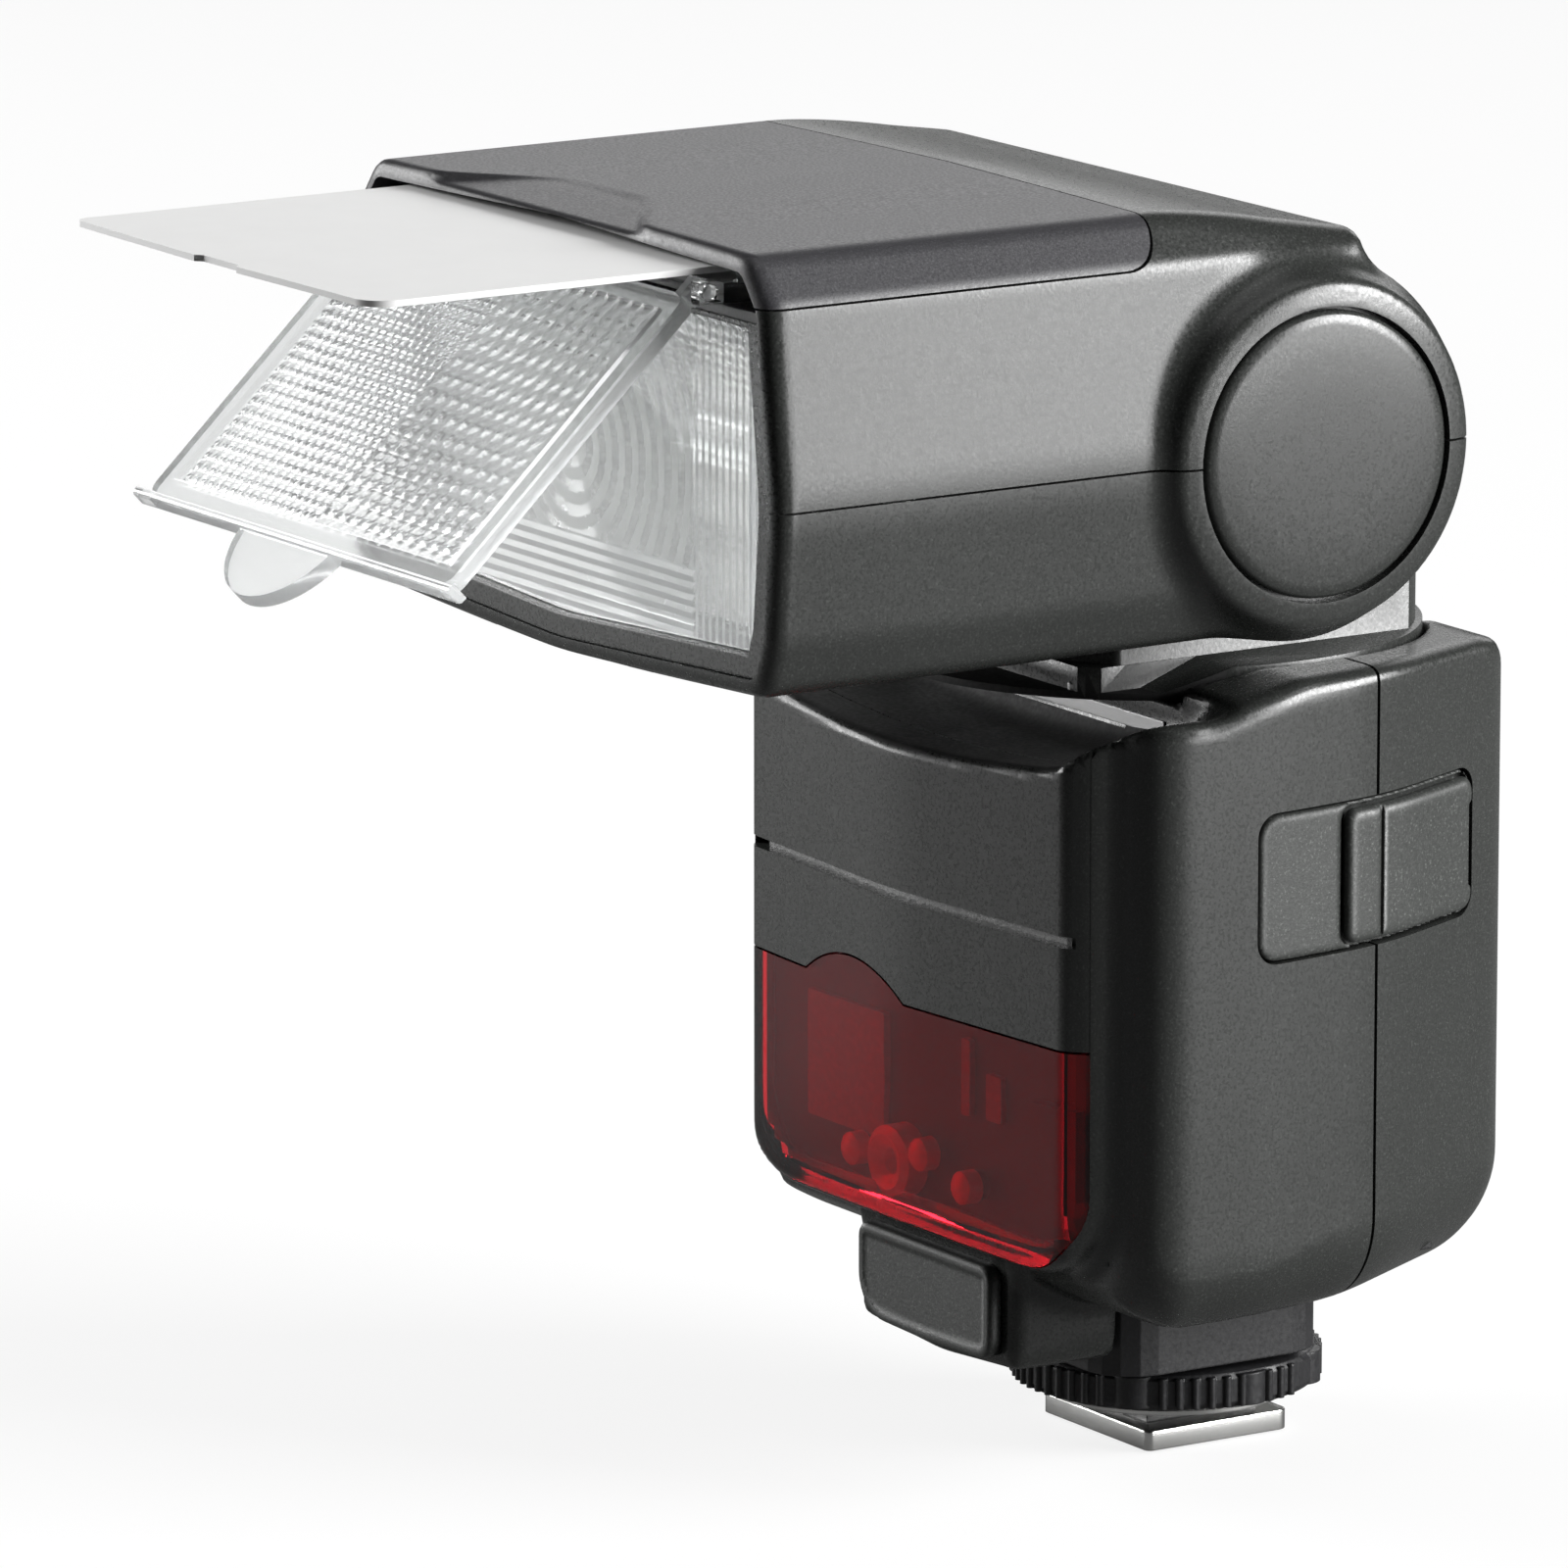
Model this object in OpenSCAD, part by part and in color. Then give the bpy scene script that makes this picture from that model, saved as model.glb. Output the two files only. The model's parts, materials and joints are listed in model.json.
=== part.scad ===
// Speedlight flash with a hot-shoe foot, drawn in millimetres.
// The origin is the middle of the foot's underside. +Z is up and -Y is the way the lamp fires.

/* [Foot] */
// Width of the foot plate across the shoe
foot_w = 18.6; // [18:0.1:19]
// Depth of the foot plate along the shoe
foot_d = 16.9; // [15:0.1:19]
// Thickness of the foot plate
foot_t = 2; // [1.5:0.1:2.2]
// Width of the block that stands on the foot plate
stem_w = 12.6; // [11:0.1:13]
// Depth of the block that stands on the foot plate
stem_d = 13.1; // [11:0.1:13.2]
// Radius of one spring contact
contact_r = 0.75; // [0.5:0.05:1]
// Radius of the locking pin
lock_pin_r = 0.9; // [0.6:0.05:1.1]
// Outer radius of the locking ring
ring_r = 15.7; // [14.5:0.1:17]
// Height of the locking ring
ring_h = 4.1; // [3.6:0.1:4.2]
// Height of the locking ring's underside above the foot's underside
ring_z = 4.5; // [4.4:0.1:4.7]
// Depth of the grip ribs on the locking ring
rib_depth = 0.6; // [0.3:0.1:0.9]
// Grip ribs in one ribbed stretch of the ring
rib_count = 9; // [5:1:12]

/* [Base] */
// Half width of the block between the ring and the body
base_half_w = 15.3; // [14:0.1:17]
// How far the base block reaches behind the foot's middle
base_rear = 9.5; // [8.5:0.1:12]
// How far the base block reaches in front of the foot's middle
base_front = 16.3; // [15:0.1:17]
// Height of the base block's underside
base_z = 9.5; // [9.2:0.1:10]
// Half width of the charging socket's housing at its front
nose_box_half_w = 13.7; // [12.5:0.1:14.5]
// How far the socket housing reaches in front of the foot's middle
nose_box_front = 27.3; // [26:0.1:28]
// Height of the socket housing's underside
nose_box_z = 11.2; // [10.4:0.1:12.2]

/* [Body] */
// Room in the body between the battery cage and each side
bay_side = 10.1; // [9.6:0.1:11]
// Distance from the foot's middle to the body's front
body_front = 33; // [32:0.1:34]
// Distance from the foot's middle to the body's back
body_rear = 25.6; // [25:0.1:27]
// Height of the body's underside
body_z = 17.8; // [17:0.1:18.5]
// Room between the flash capacitor and the body's top
top_room = 11.15; // [10.9:0.05:12]
// How far the shoulders beside the front panel lie below the body's top
shoulder_drop = 3.6; // [3.2:0.1:4.4]
// Wall of the body's shells
wall = 2; // [1.6:0.1:2.3]
// Distance from the foot's middle back to the joint between the body's shells
split_y = 1.2; // [0:0.1:2]
// Rounding of the body's lower edges
body_round = 9; // [6:0.5:10]

/* [Front panel] */
// Half width of the flat part of the body's front
nose_half_w = 27.4; // [26.4:0.1:27.8]
// How far the front panel wraps round each corner of the body's front
panel_wrap = 1.9; // [1.4:0.1:2.3]
// How far the front panel's top edge lies below the body's top
panel_drop = 9.4; // [8:0.1:11]
// Height of the red window
window_h = 22.2; // [20:0.1:24]
// Height of the red window's lower edge above the body's underside
window_rise = 6.6; // [6.2:0.1:8]
// Radius of the arched part of the red window
arch_r = 16.2; // [12:0.1:20]
// How far the arch stands above the straight joint
arch_rise = 3; // [2:0.1:4]
// Sideways place of the arch
arch_x = -7; // [-9:0.1:-5]

/* [Side cover] */
// How far the socket cover's lower edge lies below the body's top
cover_drop = 27.4; // [25:0.1:28]
// Height of the socket cover
cover_h = 14.6; // [13:0.1:16]
// Distance from the foot's middle forward to the cover's front edge
cover_front = 14; // [12:0.1:16]
// Distance from the foot's middle forward to the flap's hinge
flap_front = 3.4; // [2:0.1:5]
// Distance from the foot's middle back to the flap's free edge
flap_rear = 17; // [14:0.1:17.5]
// How far the flap stands out of the side
flap_proud = 0.8; // [0.3:0.1:1.2]

/* [Batteries] */
// Radius of one battery cell
cell_r = 7.15; // [7:0.05:7.25]
// Length of one battery cell
cell_l = 50; // [49:0.1:50.5]
// Distance between the middles of neighbouring cells
cell_pitch = 15; // [14.8:0.1:15.4]
// Distance from the foot's middle forward to the pack's middle
pack_y = -2.3; // [-3:0.1:-1.6]
// Height of the cage's underside above the body's underside
cage_rise = 3.35; // [2.9:0.05:3.9]

/* [Turret] */
// Radius of the turret's disc
disc_r = 27; // [25:0.1:27.4]
// Thickness of the turret's disc
disc_h = 3.1; // [2.9:0.1:3.4]
// How far the disc's top lies below the body's top
disc_sink = 0.3; // [0.2:0.05:0.6]
// Distance from the foot's middle forward to the swivel axis
swivel_y = -3; // [-3.5:0.1:-2.5]
// Radius of the swivel's hollow shaft
swivel_r = 10; // [9:0.1:10.4]
// Half width of the turret's neck and drum
neck_half_w = 19.6; // [18:0.1:20.4]
// Radius of the drum that the head turns about
drum_r = 17.2; // [16.6:0.1:17.3]
// Radius of the tilt shafts
tilt_shaft_r = 6; // [4:0.1:7]

/* [Head] */
// Distance from the foot's middle forward to the head's front
head_front = 70.5; // [69:0.1:71.5]
// Distance from the foot's middle forward to the tilt axis
tilt_y = -10.5; // [-11:0.1:-10]
// Height of the tilt axis above the turret's disc
tilt_rise = 23; // [22.8:0.1:23.6]
// Radius of the head's rounded back
barrel_r = 18.6; // [18.5:0.1:18.9]
// Half width of the head where its shells meet
head_half_w = 39.4; // [38.5:0.1:40]
// How far each side of the head leans in at its top
head_lean = 5.8; // [4.5:0.1:7]
// Height of the head's top above the tilt axis
head_rise = 24; // [23.7:0.1:25]
// Wall of the head's shells
head_wall = 1.8; // [1.5:0.1:2]
// How far the lid reaches down from the head's top
lid_h = 5.2; // [4.8:0.1:5.5]
// Distance from the foot's middle forward to the lid's rear joint
lid_rear = 26.5; // [25:0.1:28]
// Radius of the round caps at the tilt axis
cap_r = 13.9; // [13:0.1:14.5]
// How far the caps stand out beside the head where its shells meet
cap_out = 2.4; // [2.1:0.1:2.8]

/* [Lamp] */
// Room between the reflector's mouth and each side of the head
lamp_side = 10.4; // [10:0.1:12]
// Height of the reflector's mouth
reflector_h = 28; // [24:0.5:29]
// Depth of the reflector
reflector_d = 17; // [15:0.5:17.5]
// Distance from the foot's middle forward to the reflector's mouth
reflector_front = 60; // [59.5:0.1:60.5]
// Radius of the flash tube
tube_r = 2.3; // [1.8:0.1:2.6]
// Thickness of the lens
lens_t = 1.8; // [1.2:0.1:2]
// Radius of the guide rods
rod_r = 1.25; // [1:0.05:1.4]
// Radius of the zoom screw
screw_r = 1; // [0.8:0.05:1.2]

/* [Card and panel] */
// Half width of the bounce card
card_half_w = 27.4; // [26:0.1:27.5]
// How far the bounce card stands out of the head
card_out = 37; // [36:0.5:38]
// Thickness of the bounce card
card_t = 0.6; // [0.4:0.1:0.7]
// How far the bounce card's middle lies below the head's top
card_drop = 2.75; // [2.7:0.05:2.9]
// Half width of the wide-angle panel
wide_half_w = 27.5; // [26.5:0.1:27.8]
// Length of the wide-angle panel from its hinge
wide_l = 36.4; // [35:0.1:37]
// Thickness of the wide-angle panel
wide_t = 1.4; // [1:0.1:1.5]
// How far the wide-angle panel hangs below level
wide_angle = 43.3; // [35:0.1:50]

/* [Controls] */
// Half width of the control panel on the back
control_half_w = 17; // [16:0.1:17.5]
// Height of the control panel's lower edge above the body's underside
control_rise = 10.8; // [10.2:0.1:11.5]
// How far the control panel's top edge lies below the body's top
control_drop = 7; // [6.5:0.1:8]
// Radius of the control dial
dial_r = 10.6; // [9.5:0.1:11]
// How far the buttons stand out of the panel
button_proud = 0.9; // [0.7:0.1:1.4]
// How far a button travels when it is pressed
button_travel = 0.5; // [0.3:0.05:0.6]

/* [Hidden] */
$fn = 48;

// Clearances: between fixed pieces, for turning fits and between moving pieces
seam = 0.1;
fit = 0.05;
play = 0.3;

// Levels that several pieces share
cage_wall = 1;
cage_half_y = cell_pitch / 2 + cell_r + cage_wall + 0.2;
cage_half_z = cage_half_y;
pack_z = body_z + cage_rise + cage_half_z;
capacitor_r = 9;
body_top = pack_z + cage_half_z + 2 * capacitor_r + top_room;
shoulder_z = body_top - shoulder_drop;
panel_top = body_top - panel_drop;
panel_half_w = nose_half_w + panel_wrap;
window_z = body_z + window_rise;
window_top = window_z + window_h;
cover_z = body_top - cover_drop;
disc_top = body_top - disc_sink;
disc_z = disc_top - disc_h;
tilt_z = disc_top + tilt_rise;
head_top = tilt_z + head_rise;
lid_z = head_top - lid_h;
card_z = head_top - card_drop;
control_z = body_z + control_rise;
control_top = body_top - control_drop;
split_z = tilt_z;
head_top_half_w = head_half_w - head_lean;
cap_x = head_half_w + cap_out;
reflector_w = 2 * (head_half_w - lamp_side);
far = 300;
foot_clear_r = norm([stem_w, stem_d]) / 2;
collar_r = foot_clear_r + 2;
ring_lip = 0.8;
ring_top = ring_z + ring_h;
washer_t = 0.6;
pin_y = -stem_d / 2 + lock_pin_r + 0.5;
scoop_z = panel_top - 1.2;
scoop_back = -18;
pocket_z = disc_z - play;
neck_front = -23;
neck_rear = 17;
neck_top = 94.4;
head_slot_half_w = neck_half_w + 0.6;
head_slot_r = drum_r + 0.4;
head_slot_rear = tilt_y + 8;
head_slot_front = neck_front - 3.5;
head_under = tilt_z - barrel_r;
ear_face_x = cap_x - 1.5;
board_t = 1.4;
board_front = -body_front + 6.4;
lamp_x = -4.5;
lamp_z = window_z + 5;
rear_face = body_rear - 0.1;
panel_face = rear_face + 0.2;
panel_plate_t = 1.5;
panel_back = panel_face - panel_plate_t;
key_back = panel_back - 1.3;
board_rear = key_back - button_travel - 0.6;
dial_z = control_z + 9.6;
key_z = control_z + 22.8;
cage_x = cell_l / 2 + 0.9;
body_half_w = cage_x + bay_side;
door_hinge_y = pack_y - cage_half_y + 1;
door_rear_y = pack_y + cage_half_y - 1;
door_z = pack_z - cage_half_z + 1.6;
door_top = pack_z + cage_half_z;
tray_z = lid_z - 1.6;
tray_t = 1;
hinge_z = card_z - 1.8;
hinge_y = -head_front - 1.1;
rod_x = head_half_w - 6;
rod_z = tilt_z - 5.3;
screw_x = head_half_w - 6.7;
screw_z = tilt_z - 12.8;
motor_r = 3;
motor_l = 9.6;
rib_y = -29.9;
rib_t = 1.8;
bezel_d = 4.4;
bezel_front = -head_front + 0.4;
bezel_back = bezel_front + bezel_d;
lens_front = bezel_front + 1;
lens_inset = head_wall + 2.4;
lens_top = tray_z - 0.7;
tube_y = -reflector_front + reflector_d - 5.4;
reflector_z = tilt_z - 0.7;
mirror_t = 0.6;
carriage_t = 2;
carriage_y = -reflector_front + reflector_d + 0.1;

// Outline of the body seen from above, one side, from the front round to the back
BODY_PLAN = [[0, -body_front, 60], [nose_half_w, -body_front + 2, 4],
    [body_half_w, -body_front + 9.6, 6], [body_half_w, -12.5, 40],
    [body_half_w - 2.4, 2.5, 40], [body_half_w - 12.5, body_rear - 0.8, 9], [0, body_rear, 60]];
// Outline of the body seen from its side, as [y, z, rounding]
BODY_SIDE = [[-body_front - 1, window_top, 0], [-body_front + 1.4, window_z - 0.6, 3],
    [-body_front + 7, window_z - 2.8, 4], [-body_front + 13, body_z, 5],
    [body_rear + 1, body_z, body_round], [body_rear + 1, body_top - 1, 8], [2, body_top, 0],
    [-8, body_top, 6], [-19, shoulder_z, 8], [-body_front - 1, shoulder_z, 1.5]];
// Outline of the body seen from its front, as [x, z, rounding]
BODY_FACE = [[-body_half_w - 0.5, body_z, body_round], [body_half_w + 0.5, body_z, body_round],
    [body_half_w + 0.5, body_top + 0.5, 3.6], [-body_half_w - 0.5, body_top + 0.5, 3.6]];
// Outline of the head seen from its front, right side, from the bottom up, as [x, z, rounding]
HEAD_FACE = [[0, head_under - 1.2, 60], [head_half_w - 3.2, head_under + 0.6, 3],
    [head_half_w - 1.2, head_under + 6, 8], [head_half_w, split_z, 30],
    [head_half_w - 2.3, head_top - 5, 3], [head_top_half_w, head_top - 0.5, 3], [0, head_top + 0.3, 60]];
// Outline of the head's box seen from its side, as [y, z, rounding]
HEAD_SIDE = [[-head_front, head_under - 1.2, 0], [tilt_y, head_under + 0.15, 0],
    [head_slot_rear, tilt_z, 0], [head_slot_rear, tilt_z + barrel_r - 2.4, 0],
    [head_slot_rear - 0.6, head_top - 3.8, 1.2], [tilt_y - 1, head_top - 2.4, 5],
    [tilt_y - 14, head_top + 0.3, 20], [-head_front, head_top + 0.3, 1]];

// Helpers for outlines with rounded corners

function unit(v) = v / norm(v);

function left_of(v) = [-v.y, v.x];

function xy(p) = [p.x, p.y];

function cross_z(u, v) = u.x * v.y - u.y * v.x;

// Angle turned between two directions, from -180 to 180
function turn(a, b) = let (d = b - a) d > 180 ? d - 360 : d < -180 ? d + 360 : d;

function corner(a, b, c, r) =
    let (u = unit(a - b), v = unit(c - b), half = acos(u * v) / 2, steps = r > 5 ? 6 : 4)
    let (start = b + u * r / tan(half), centre = b + unit(u + v) * r / sin(half))
    let (finish = b + v * r / tan(half))
    let (a0 = atan2(start.y - centre.y, start.x - centre.x))
    let (sweep = turn(a0, atan2(finish.y - centre.y, finish.x - centre.x)))
    [for (i = [0:steps]) centre + r * [cos(a0 + sweep * i / steps), sin(a0 + sweep * i / steps)]];

function rounded(p) = [for (i = [0:len(p) - 1])
    let (b = p[i], a = p[(i + len(p) - 1) % len(p)], c = p[(i + 1) % len(p)])
    each b[2] > 0 ? corner(xy(a), xy(b), xy(c), b[2]) : [xy(b)]];

// The same outline moved in by d, for points that run anticlockwise
function shrunk(p, d) = [for (i = [0:len(p) - 1])
    let (b = xy(p[i]), a = xy(p[(i + len(p) - 1) % len(p)]), c = xy(p[(i + 1) % len(p)]))
    let (n1 = left_of(unit(b - a)), n2 = left_of(unit(c - b)))
    let (hollow = cross_z(b - a, c - b) < 0)
    let (q = b + (n1 + n2) * d / (1 + n1 * n2))
    [q.x, q.y, p[i][2] == 0 ? 0 : max(0.3, p[i][2] + (hollow ? d : -d))]];

// A half outline and its mirror image, starting and ending on the middle line
function both_sides(p) = concat(p, [for (i = [len(p) - 2:-1:1]) [-p[i].x, p[i].y, p[i][2]]]);

module outline(p, d = 0) polygon(rounded(shrunk(p, d)));

// Solids drawn along the axes

module along_x(x0, x1) translate([x0, 0, 0]) rotate([90, 0, 90]) linear_extrude(x1 - x0) children();

module along_y(y0, y1) translate([0, y1, 0]) rotate([90, 0, 0]) linear_extrude(y1 - y0) children();

module along_z(z0, z1) translate([0, 0, z0]) linear_extrude(z1 - z0) children();

module rod_along_x(x0, x1, r, y, z) translate([x0, y, z]) rotate([0, 90, 0]) cylinder(h = x1 - x0, r = r);

module rod_along_y(y0, y1, r, x, z) translate([x, y1, z]) rotate([90, 0, 0]) cylinder(h = y1 - y0, r = r);

module rod_along_z(z0, z1, r, x, y) translate([x, y, z0]) cylinder(h = z1 - z0, r = r);

module block(x0, x1, y0, y1, z0, z1) translate([x0, y0, z0]) cube([x1 - x0, y1 - y0, z1 - z0]);

module both_x() for (s = [0, 1]) mirror([s, 0, 0]) children();

module round_rect(x0, x1, y0, y1, r) {
    polygon(rounded([[x0, y0, r], [x1, y0, r], [x1, y1, r], [x0, y1, r]]));
}

// Body

module body_solid(d) {
    intersection() {
        along_z(body_z - 1, body_top + 1) outline(both_sides(BODY_PLAN), d);
        along_x(-body_half_w - 1, body_half_w + 1) outline(BODY_SIDE, d);
        along_y(-body_front - 2, body_rear + 2) outline(BODY_FACE, d);
    }
}

// The scoop behind the front panel and the round pocket for the turret's disc
module top_recess(grow) {
    block(-panel_half_w - grow, panel_half_w + grow, -body_front - 2, scoop_back + grow,
        scoop_z - grow, body_top + 2);
    rod_along_z(pocket_z - grow, body_top + 2, disc_r + 0.4 + grow, 0, swivel_y);
}

module body_shell() {
    difference() {
        body_solid(0);
        difference() {
            body_solid(wall);
            top_recess(wall);
        }
        top_recess(0);
        rod_along_z(pocket_z - wall - 1, pocket_z + 1, swivel_r + 0.4, 0, swivel_y);
    }
}

// The part of the body's wall that the front panel and the red window fill
module front_zone(z0, z1, clear) {
    block(-panel_half_w - clear, panel_half_w + clear, -body_front - 2, -body_front + 6, z0, z1);
}

module arch(clear) {
    rod_along_y(-body_front - 2, -body_front + 6, arch_r + clear, arch_x,
        window_top + arch_rise - arch_r);
}

module socket_housing(d) {
    outer = [[-nose_box_half_w, -nose_box_front, 1.5], [nose_box_half_w, -nose_box_front, 1.5],
        [base_half_w + 0.4, -base_front - 0.7, 2], [base_half_w + 0.4, -base_front - 0.2, 0],
        [-base_half_w - 0.4, -base_front - 0.2, 0],
        [-base_half_w - 0.4, -base_front - 0.7, 2]];
    face = [[-base_half_w - 1, nose_box_z + 0.6, 4], [0, nose_box_z - 0.4, 30],
        [base_half_w + 1, nose_box_z + 0.6, 4], [base_half_w + 1, window_z + 0.8, 0],
        [-base_half_w - 1, window_z + 0.8, 0]];
    intersection() {
        along_z(nose_box_z - 2, window_z - 0.7) outline(outer, d);
        along_y(-nose_box_front - 1, -base_front) outline(face, d);
    }
}

module front_shell() color("dimgray") {
    difference() {
        union() {
            intersection() {
                body_shell();
                block(-far, far, -far, split_y, 0, far);
            }
            difference() {
                socket_housing(0);
                socket_housing(wall);
                body_solid(wall - 0.01);
            }
        }
        front_zone(window_z - seam, panel_top + 1, seam);
        charge_hole(0);
        side_cut(seam);
        door_cut(0.15);
        battery_way();
    }
}

module rear_shell() color("dimgray") {
    difference() {
        intersection() {
            body_shell();
            block(-far, far, split_y, far, 0, far);
        }
        side_cut(seam);
        door_cut(0.15);
        battery_way();
        along_y(panel_back - seam, body_rear + 2)
            round_rect(-control_half_w - seam, control_half_w + seam, control_z - seam,
                control_top + seam, 2.5);
        block(-control_half_w + 1.2, control_half_w - 1.2, body_rear - 6, body_rear + 1,
            control_z + 1.2, control_top - 1.2);
        screw_places() rod_along_z(body_z - 1, body_z + wall + 2, screw_shank_r + 0.02, 0, 0);
    }
}

module front_panel() color("dimgray") {
    difference() {
        intersection() {
            body_shell_front();
            front_zone(window_top, panel_top, 0);
        }
        arch(seam);
    }
}

module red_window() color("darkred") {
    intersection() {
        body_shell_front();
        union() {
            front_zone(window_z, window_top - seam, 0);
            arch(0);
        }
        front_zone(window_z, window_top + arch_rise + 1, 0);
    }
}

module body_shell_front() {
    difference() {
        body_solid(0);
        body_solid(wall);
    }
}

// Charging socket behind its rubber flap

socket_y = -nose_box_front;
socket_z = nose_box_z + 5.6;
socket_l = nose_box_front - base_front - 0.4;
socket_half = 4;

module charge_hole(grow) {
    block(-socket_half - grow, socket_half + grow, socket_y - 1, socket_y + socket_l + 1.4,
        socket_z - socket_half - grow, socket_z + socket_half + grow);
}

module charge_socket() color("black") {
    difference() {
        block(-socket_half + seam, socket_half - seam, socket_y + 0.4, socket_y + socket_l,
            socket_z - socket_half + seam, socket_z + socket_half - seam);
        rod_along_y(socket_y - 1, socket_y + socket_l - 1.2, 2.75, 0, socket_z);
    }
    rod_along_y(socket_y + 2, socket_y + socket_l - 1, 1, 0, socket_z);
}

charge_flap_t = 1.5;
charge_flap_half_w = 11.8;
charge_flap_z = nose_box_z + 0.9;
charge_flap_top = charge_flap_z + 9.8;

module charge_flap() color("dimgray") {
    along_y(-nose_box_front - seam - charge_flap_t, -nose_box_front - seam)
        round_rect(-charge_flap_half_w, charge_flap_half_w, charge_flap_z, charge_flap_top, 1.6);
}

// Side sockets and their cover

module side_band(y0, y1, z0, z1) {
    block(body_half_w - 16, body_half_w + 4, y0, y1, z0, z1);
}

module side_cut(clear) {
    side_band(-cover_front - clear, flap_rear + clear, cover_z - clear, cover_z + cover_h + clear);
}

module side_skin(y0, y1, z0, z1, out, depth) {
    intersection() {
        difference() {
            body_solid(-out);
            body_solid(depth);
        }
        side_band(y0, y1, z0, z1);
    }
}

module side_cover() color("dimgray") {
    difference() {
        side_skin(-cover_front, flap_rear, cover_z, cover_z + cover_h, 0, wall);
        side_skin(-flap_front - 0.2, flap_rear + 1, cover_z - 1, cover_z + cover_h + 1, 1, wall - 0.9);
        rod_along_x(0, far, sync_r + seam, sync_y, side_socket_z);
        rod_along_x(0, far, power_r + seam, power_y, side_socket_z);
    }
}

module side_flap() color("gray") {
    side_skin(-flap_front, flap_rear - 0.4, cover_z + 0.4, cover_z + cover_h - 0.4,
        flap_proud, wall - 1.3);
}

side_socket_z = cover_z + cover_h / 2;
sync_r = 2.9;
sync_y = 2.2;
power_r = 4;
power_y = 11;
socket_depth = 8;

module round_socket(r, y, bore, x) {
    difference() {
        rod_along_x(x - socket_depth, x, r, y, side_socket_z);
        rod_along_x(x - socket_depth + 1.5, x + 1, bore, y, side_socket_z);
    }
    rod_along_x(x - socket_depth + 1, x - 1.5, 0.5, y, side_socket_z);
}

module sync_socket() color("gold") round_socket(sync_r, sync_y, 2.2, body_half_w - 4.4);

module power_socket() color("black") round_socket(power_r, power_y, 3, body_half_w - 9);

// Battery bay

module battery_way() {
    block(-body_half_w - 2, -cage_x - 0.2, pack_y - cage_half_y + 1.6, pack_y + cage_half_y - 1.6,
        pack_z - cage_half_z + 2.2, pack_z + cage_half_z - 0.6);
}

module door_band(clear) {
    block(-body_half_w - 4, -body_half_w + 17, door_hinge_y - clear, door_rear_y + clear,
        door_z - clear, door_top + clear);
}

module door_cut(clear) {
    difference() {
        door_band(clear);
        body_solid(1.5);
    }
    latch_notch();
}

module battery_door() color("dimgray") {
    difference() {
        intersection() {
            difference() {
                body_solid(0);
                body_solid(1.3);
            }
            door_band(0);
        }
        along_x(-body_half_w - 2, -20)
            round_rect(latch_y - latch_d / 2 - 0.3, latch_y + latch_d / 2 + latch_travel + 0.6,
                latch_z - latch_h / 2 - 0.3, latch_z + latch_h / 2 + 0.3, 1);
    }
}

latch_y = door_rear_y - 7;
latch_z = pack_z + 6;
latch_d = 5;
latch_h = 7;
latch_travel = 3;

module latch_notch() {
    along_x(-body_half_w - 2, -20)
        round_rect(latch_y - latch_d / 2 - 0.6, latch_y + latch_d / 2 + latch_travel + 0.9,
            latch_z - latch_h / 2 - 0.6, latch_z + latch_h / 2 + 0.6, 1);
}

module door_latch() color("black") {
    intersection() {
        difference() {
            body_solid(-0.6);
            body_solid(1.1);
        }
        along_x(-body_half_w - 2, -20)
            round_rect(latch_y - latch_d / 2, latch_y + latch_d / 2, latch_z - latch_h / 2,
                latch_z + latch_h / 2, 0.8);
    }
}

module each_cell() {
    for (i = [-1, 1], j = [-1, 1])
        translate([0, pack_y + i * cell_pitch / 2, pack_z + j * cell_pitch / 2]) children();
}

module battery_cells() color("silver") {
    each_cell() rod_along_x(-cell_l / 2, cell_l / 2 - 1.2, cell_r, 0, 0);
    each_cell() rod_along_x(cell_l / 2 - 1.2, cell_l / 2, 2.6, 0, 0);
}

module battery_contacts() color("gold") {
    each_cell() rod_along_x(cell_l / 2 + 0.05, cell_l / 2 + 0.45, 4, 0, 0);
    each_cell() rod_along_x(-cell_l / 2 - 0.55, -cell_l / 2 - 0.05, 3.2, 0, 0);
}

module battery_cage() color("black") {
    y0 = pack_y - cage_half_y;
    y1 = pack_y + cage_half_y;
    z0 = pack_z - cage_half_z;
    z1 = pack_z + cage_half_z;
    difference() {
        block(-cage_x, cage_x, y0, y1, z0, z1);
        each_cell() rod_along_x(-cage_x - 1, cage_x - 0.4, cell_r + 0.15, 0, 0);
    }
}

// Boards and large parts inside the body

// The board behind the red window, with its two lamps and its light sensor soldered on
module main_board() color("darkgreen") {
    block(-body_half_w + 7, body_half_w - 7, board_front, board_front + board_t, window_z + 1, scoop_z - wall - 0.3);
    for (x = [-6.4, 13]) rod_along_y(board_front - 2.4, board_front + 0.2, 1.5, lamp_x + x, lamp_z);
    block(nose_half_w - 8.4, nose_half_w - 2.4, board_front - 1.4, board_front + 0.2, lamp_z + 1.6, lamp_z + 10.6);
}

module rear_board() color("darkgreen") {
    block(-control_half_w + 1.6, control_half_w - 1.6, board_rear - board_t, board_rear,
        control_z + 1.6, control_top - 1.6);
}

module flash_capacitor() color("midnightblue") {
    rod_along_x(-body_half_w + 7.5, body_half_w - socket_depth - 6.5, capacitor_r, swivel_y, pack_z + cage_half_z + capacitor_r + 0.1);
}

module focus_lamp() color("firebrick") {
    difference() {
        rod_along_y(board_front - 2.7, board_front, 3.6, lamp_x, lamp_z);
        rod_along_y(board_front - 3.2, board_front - 1.4, 1.35, lamp_x, lamp_z);
    }
}

// Back of the body

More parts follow.
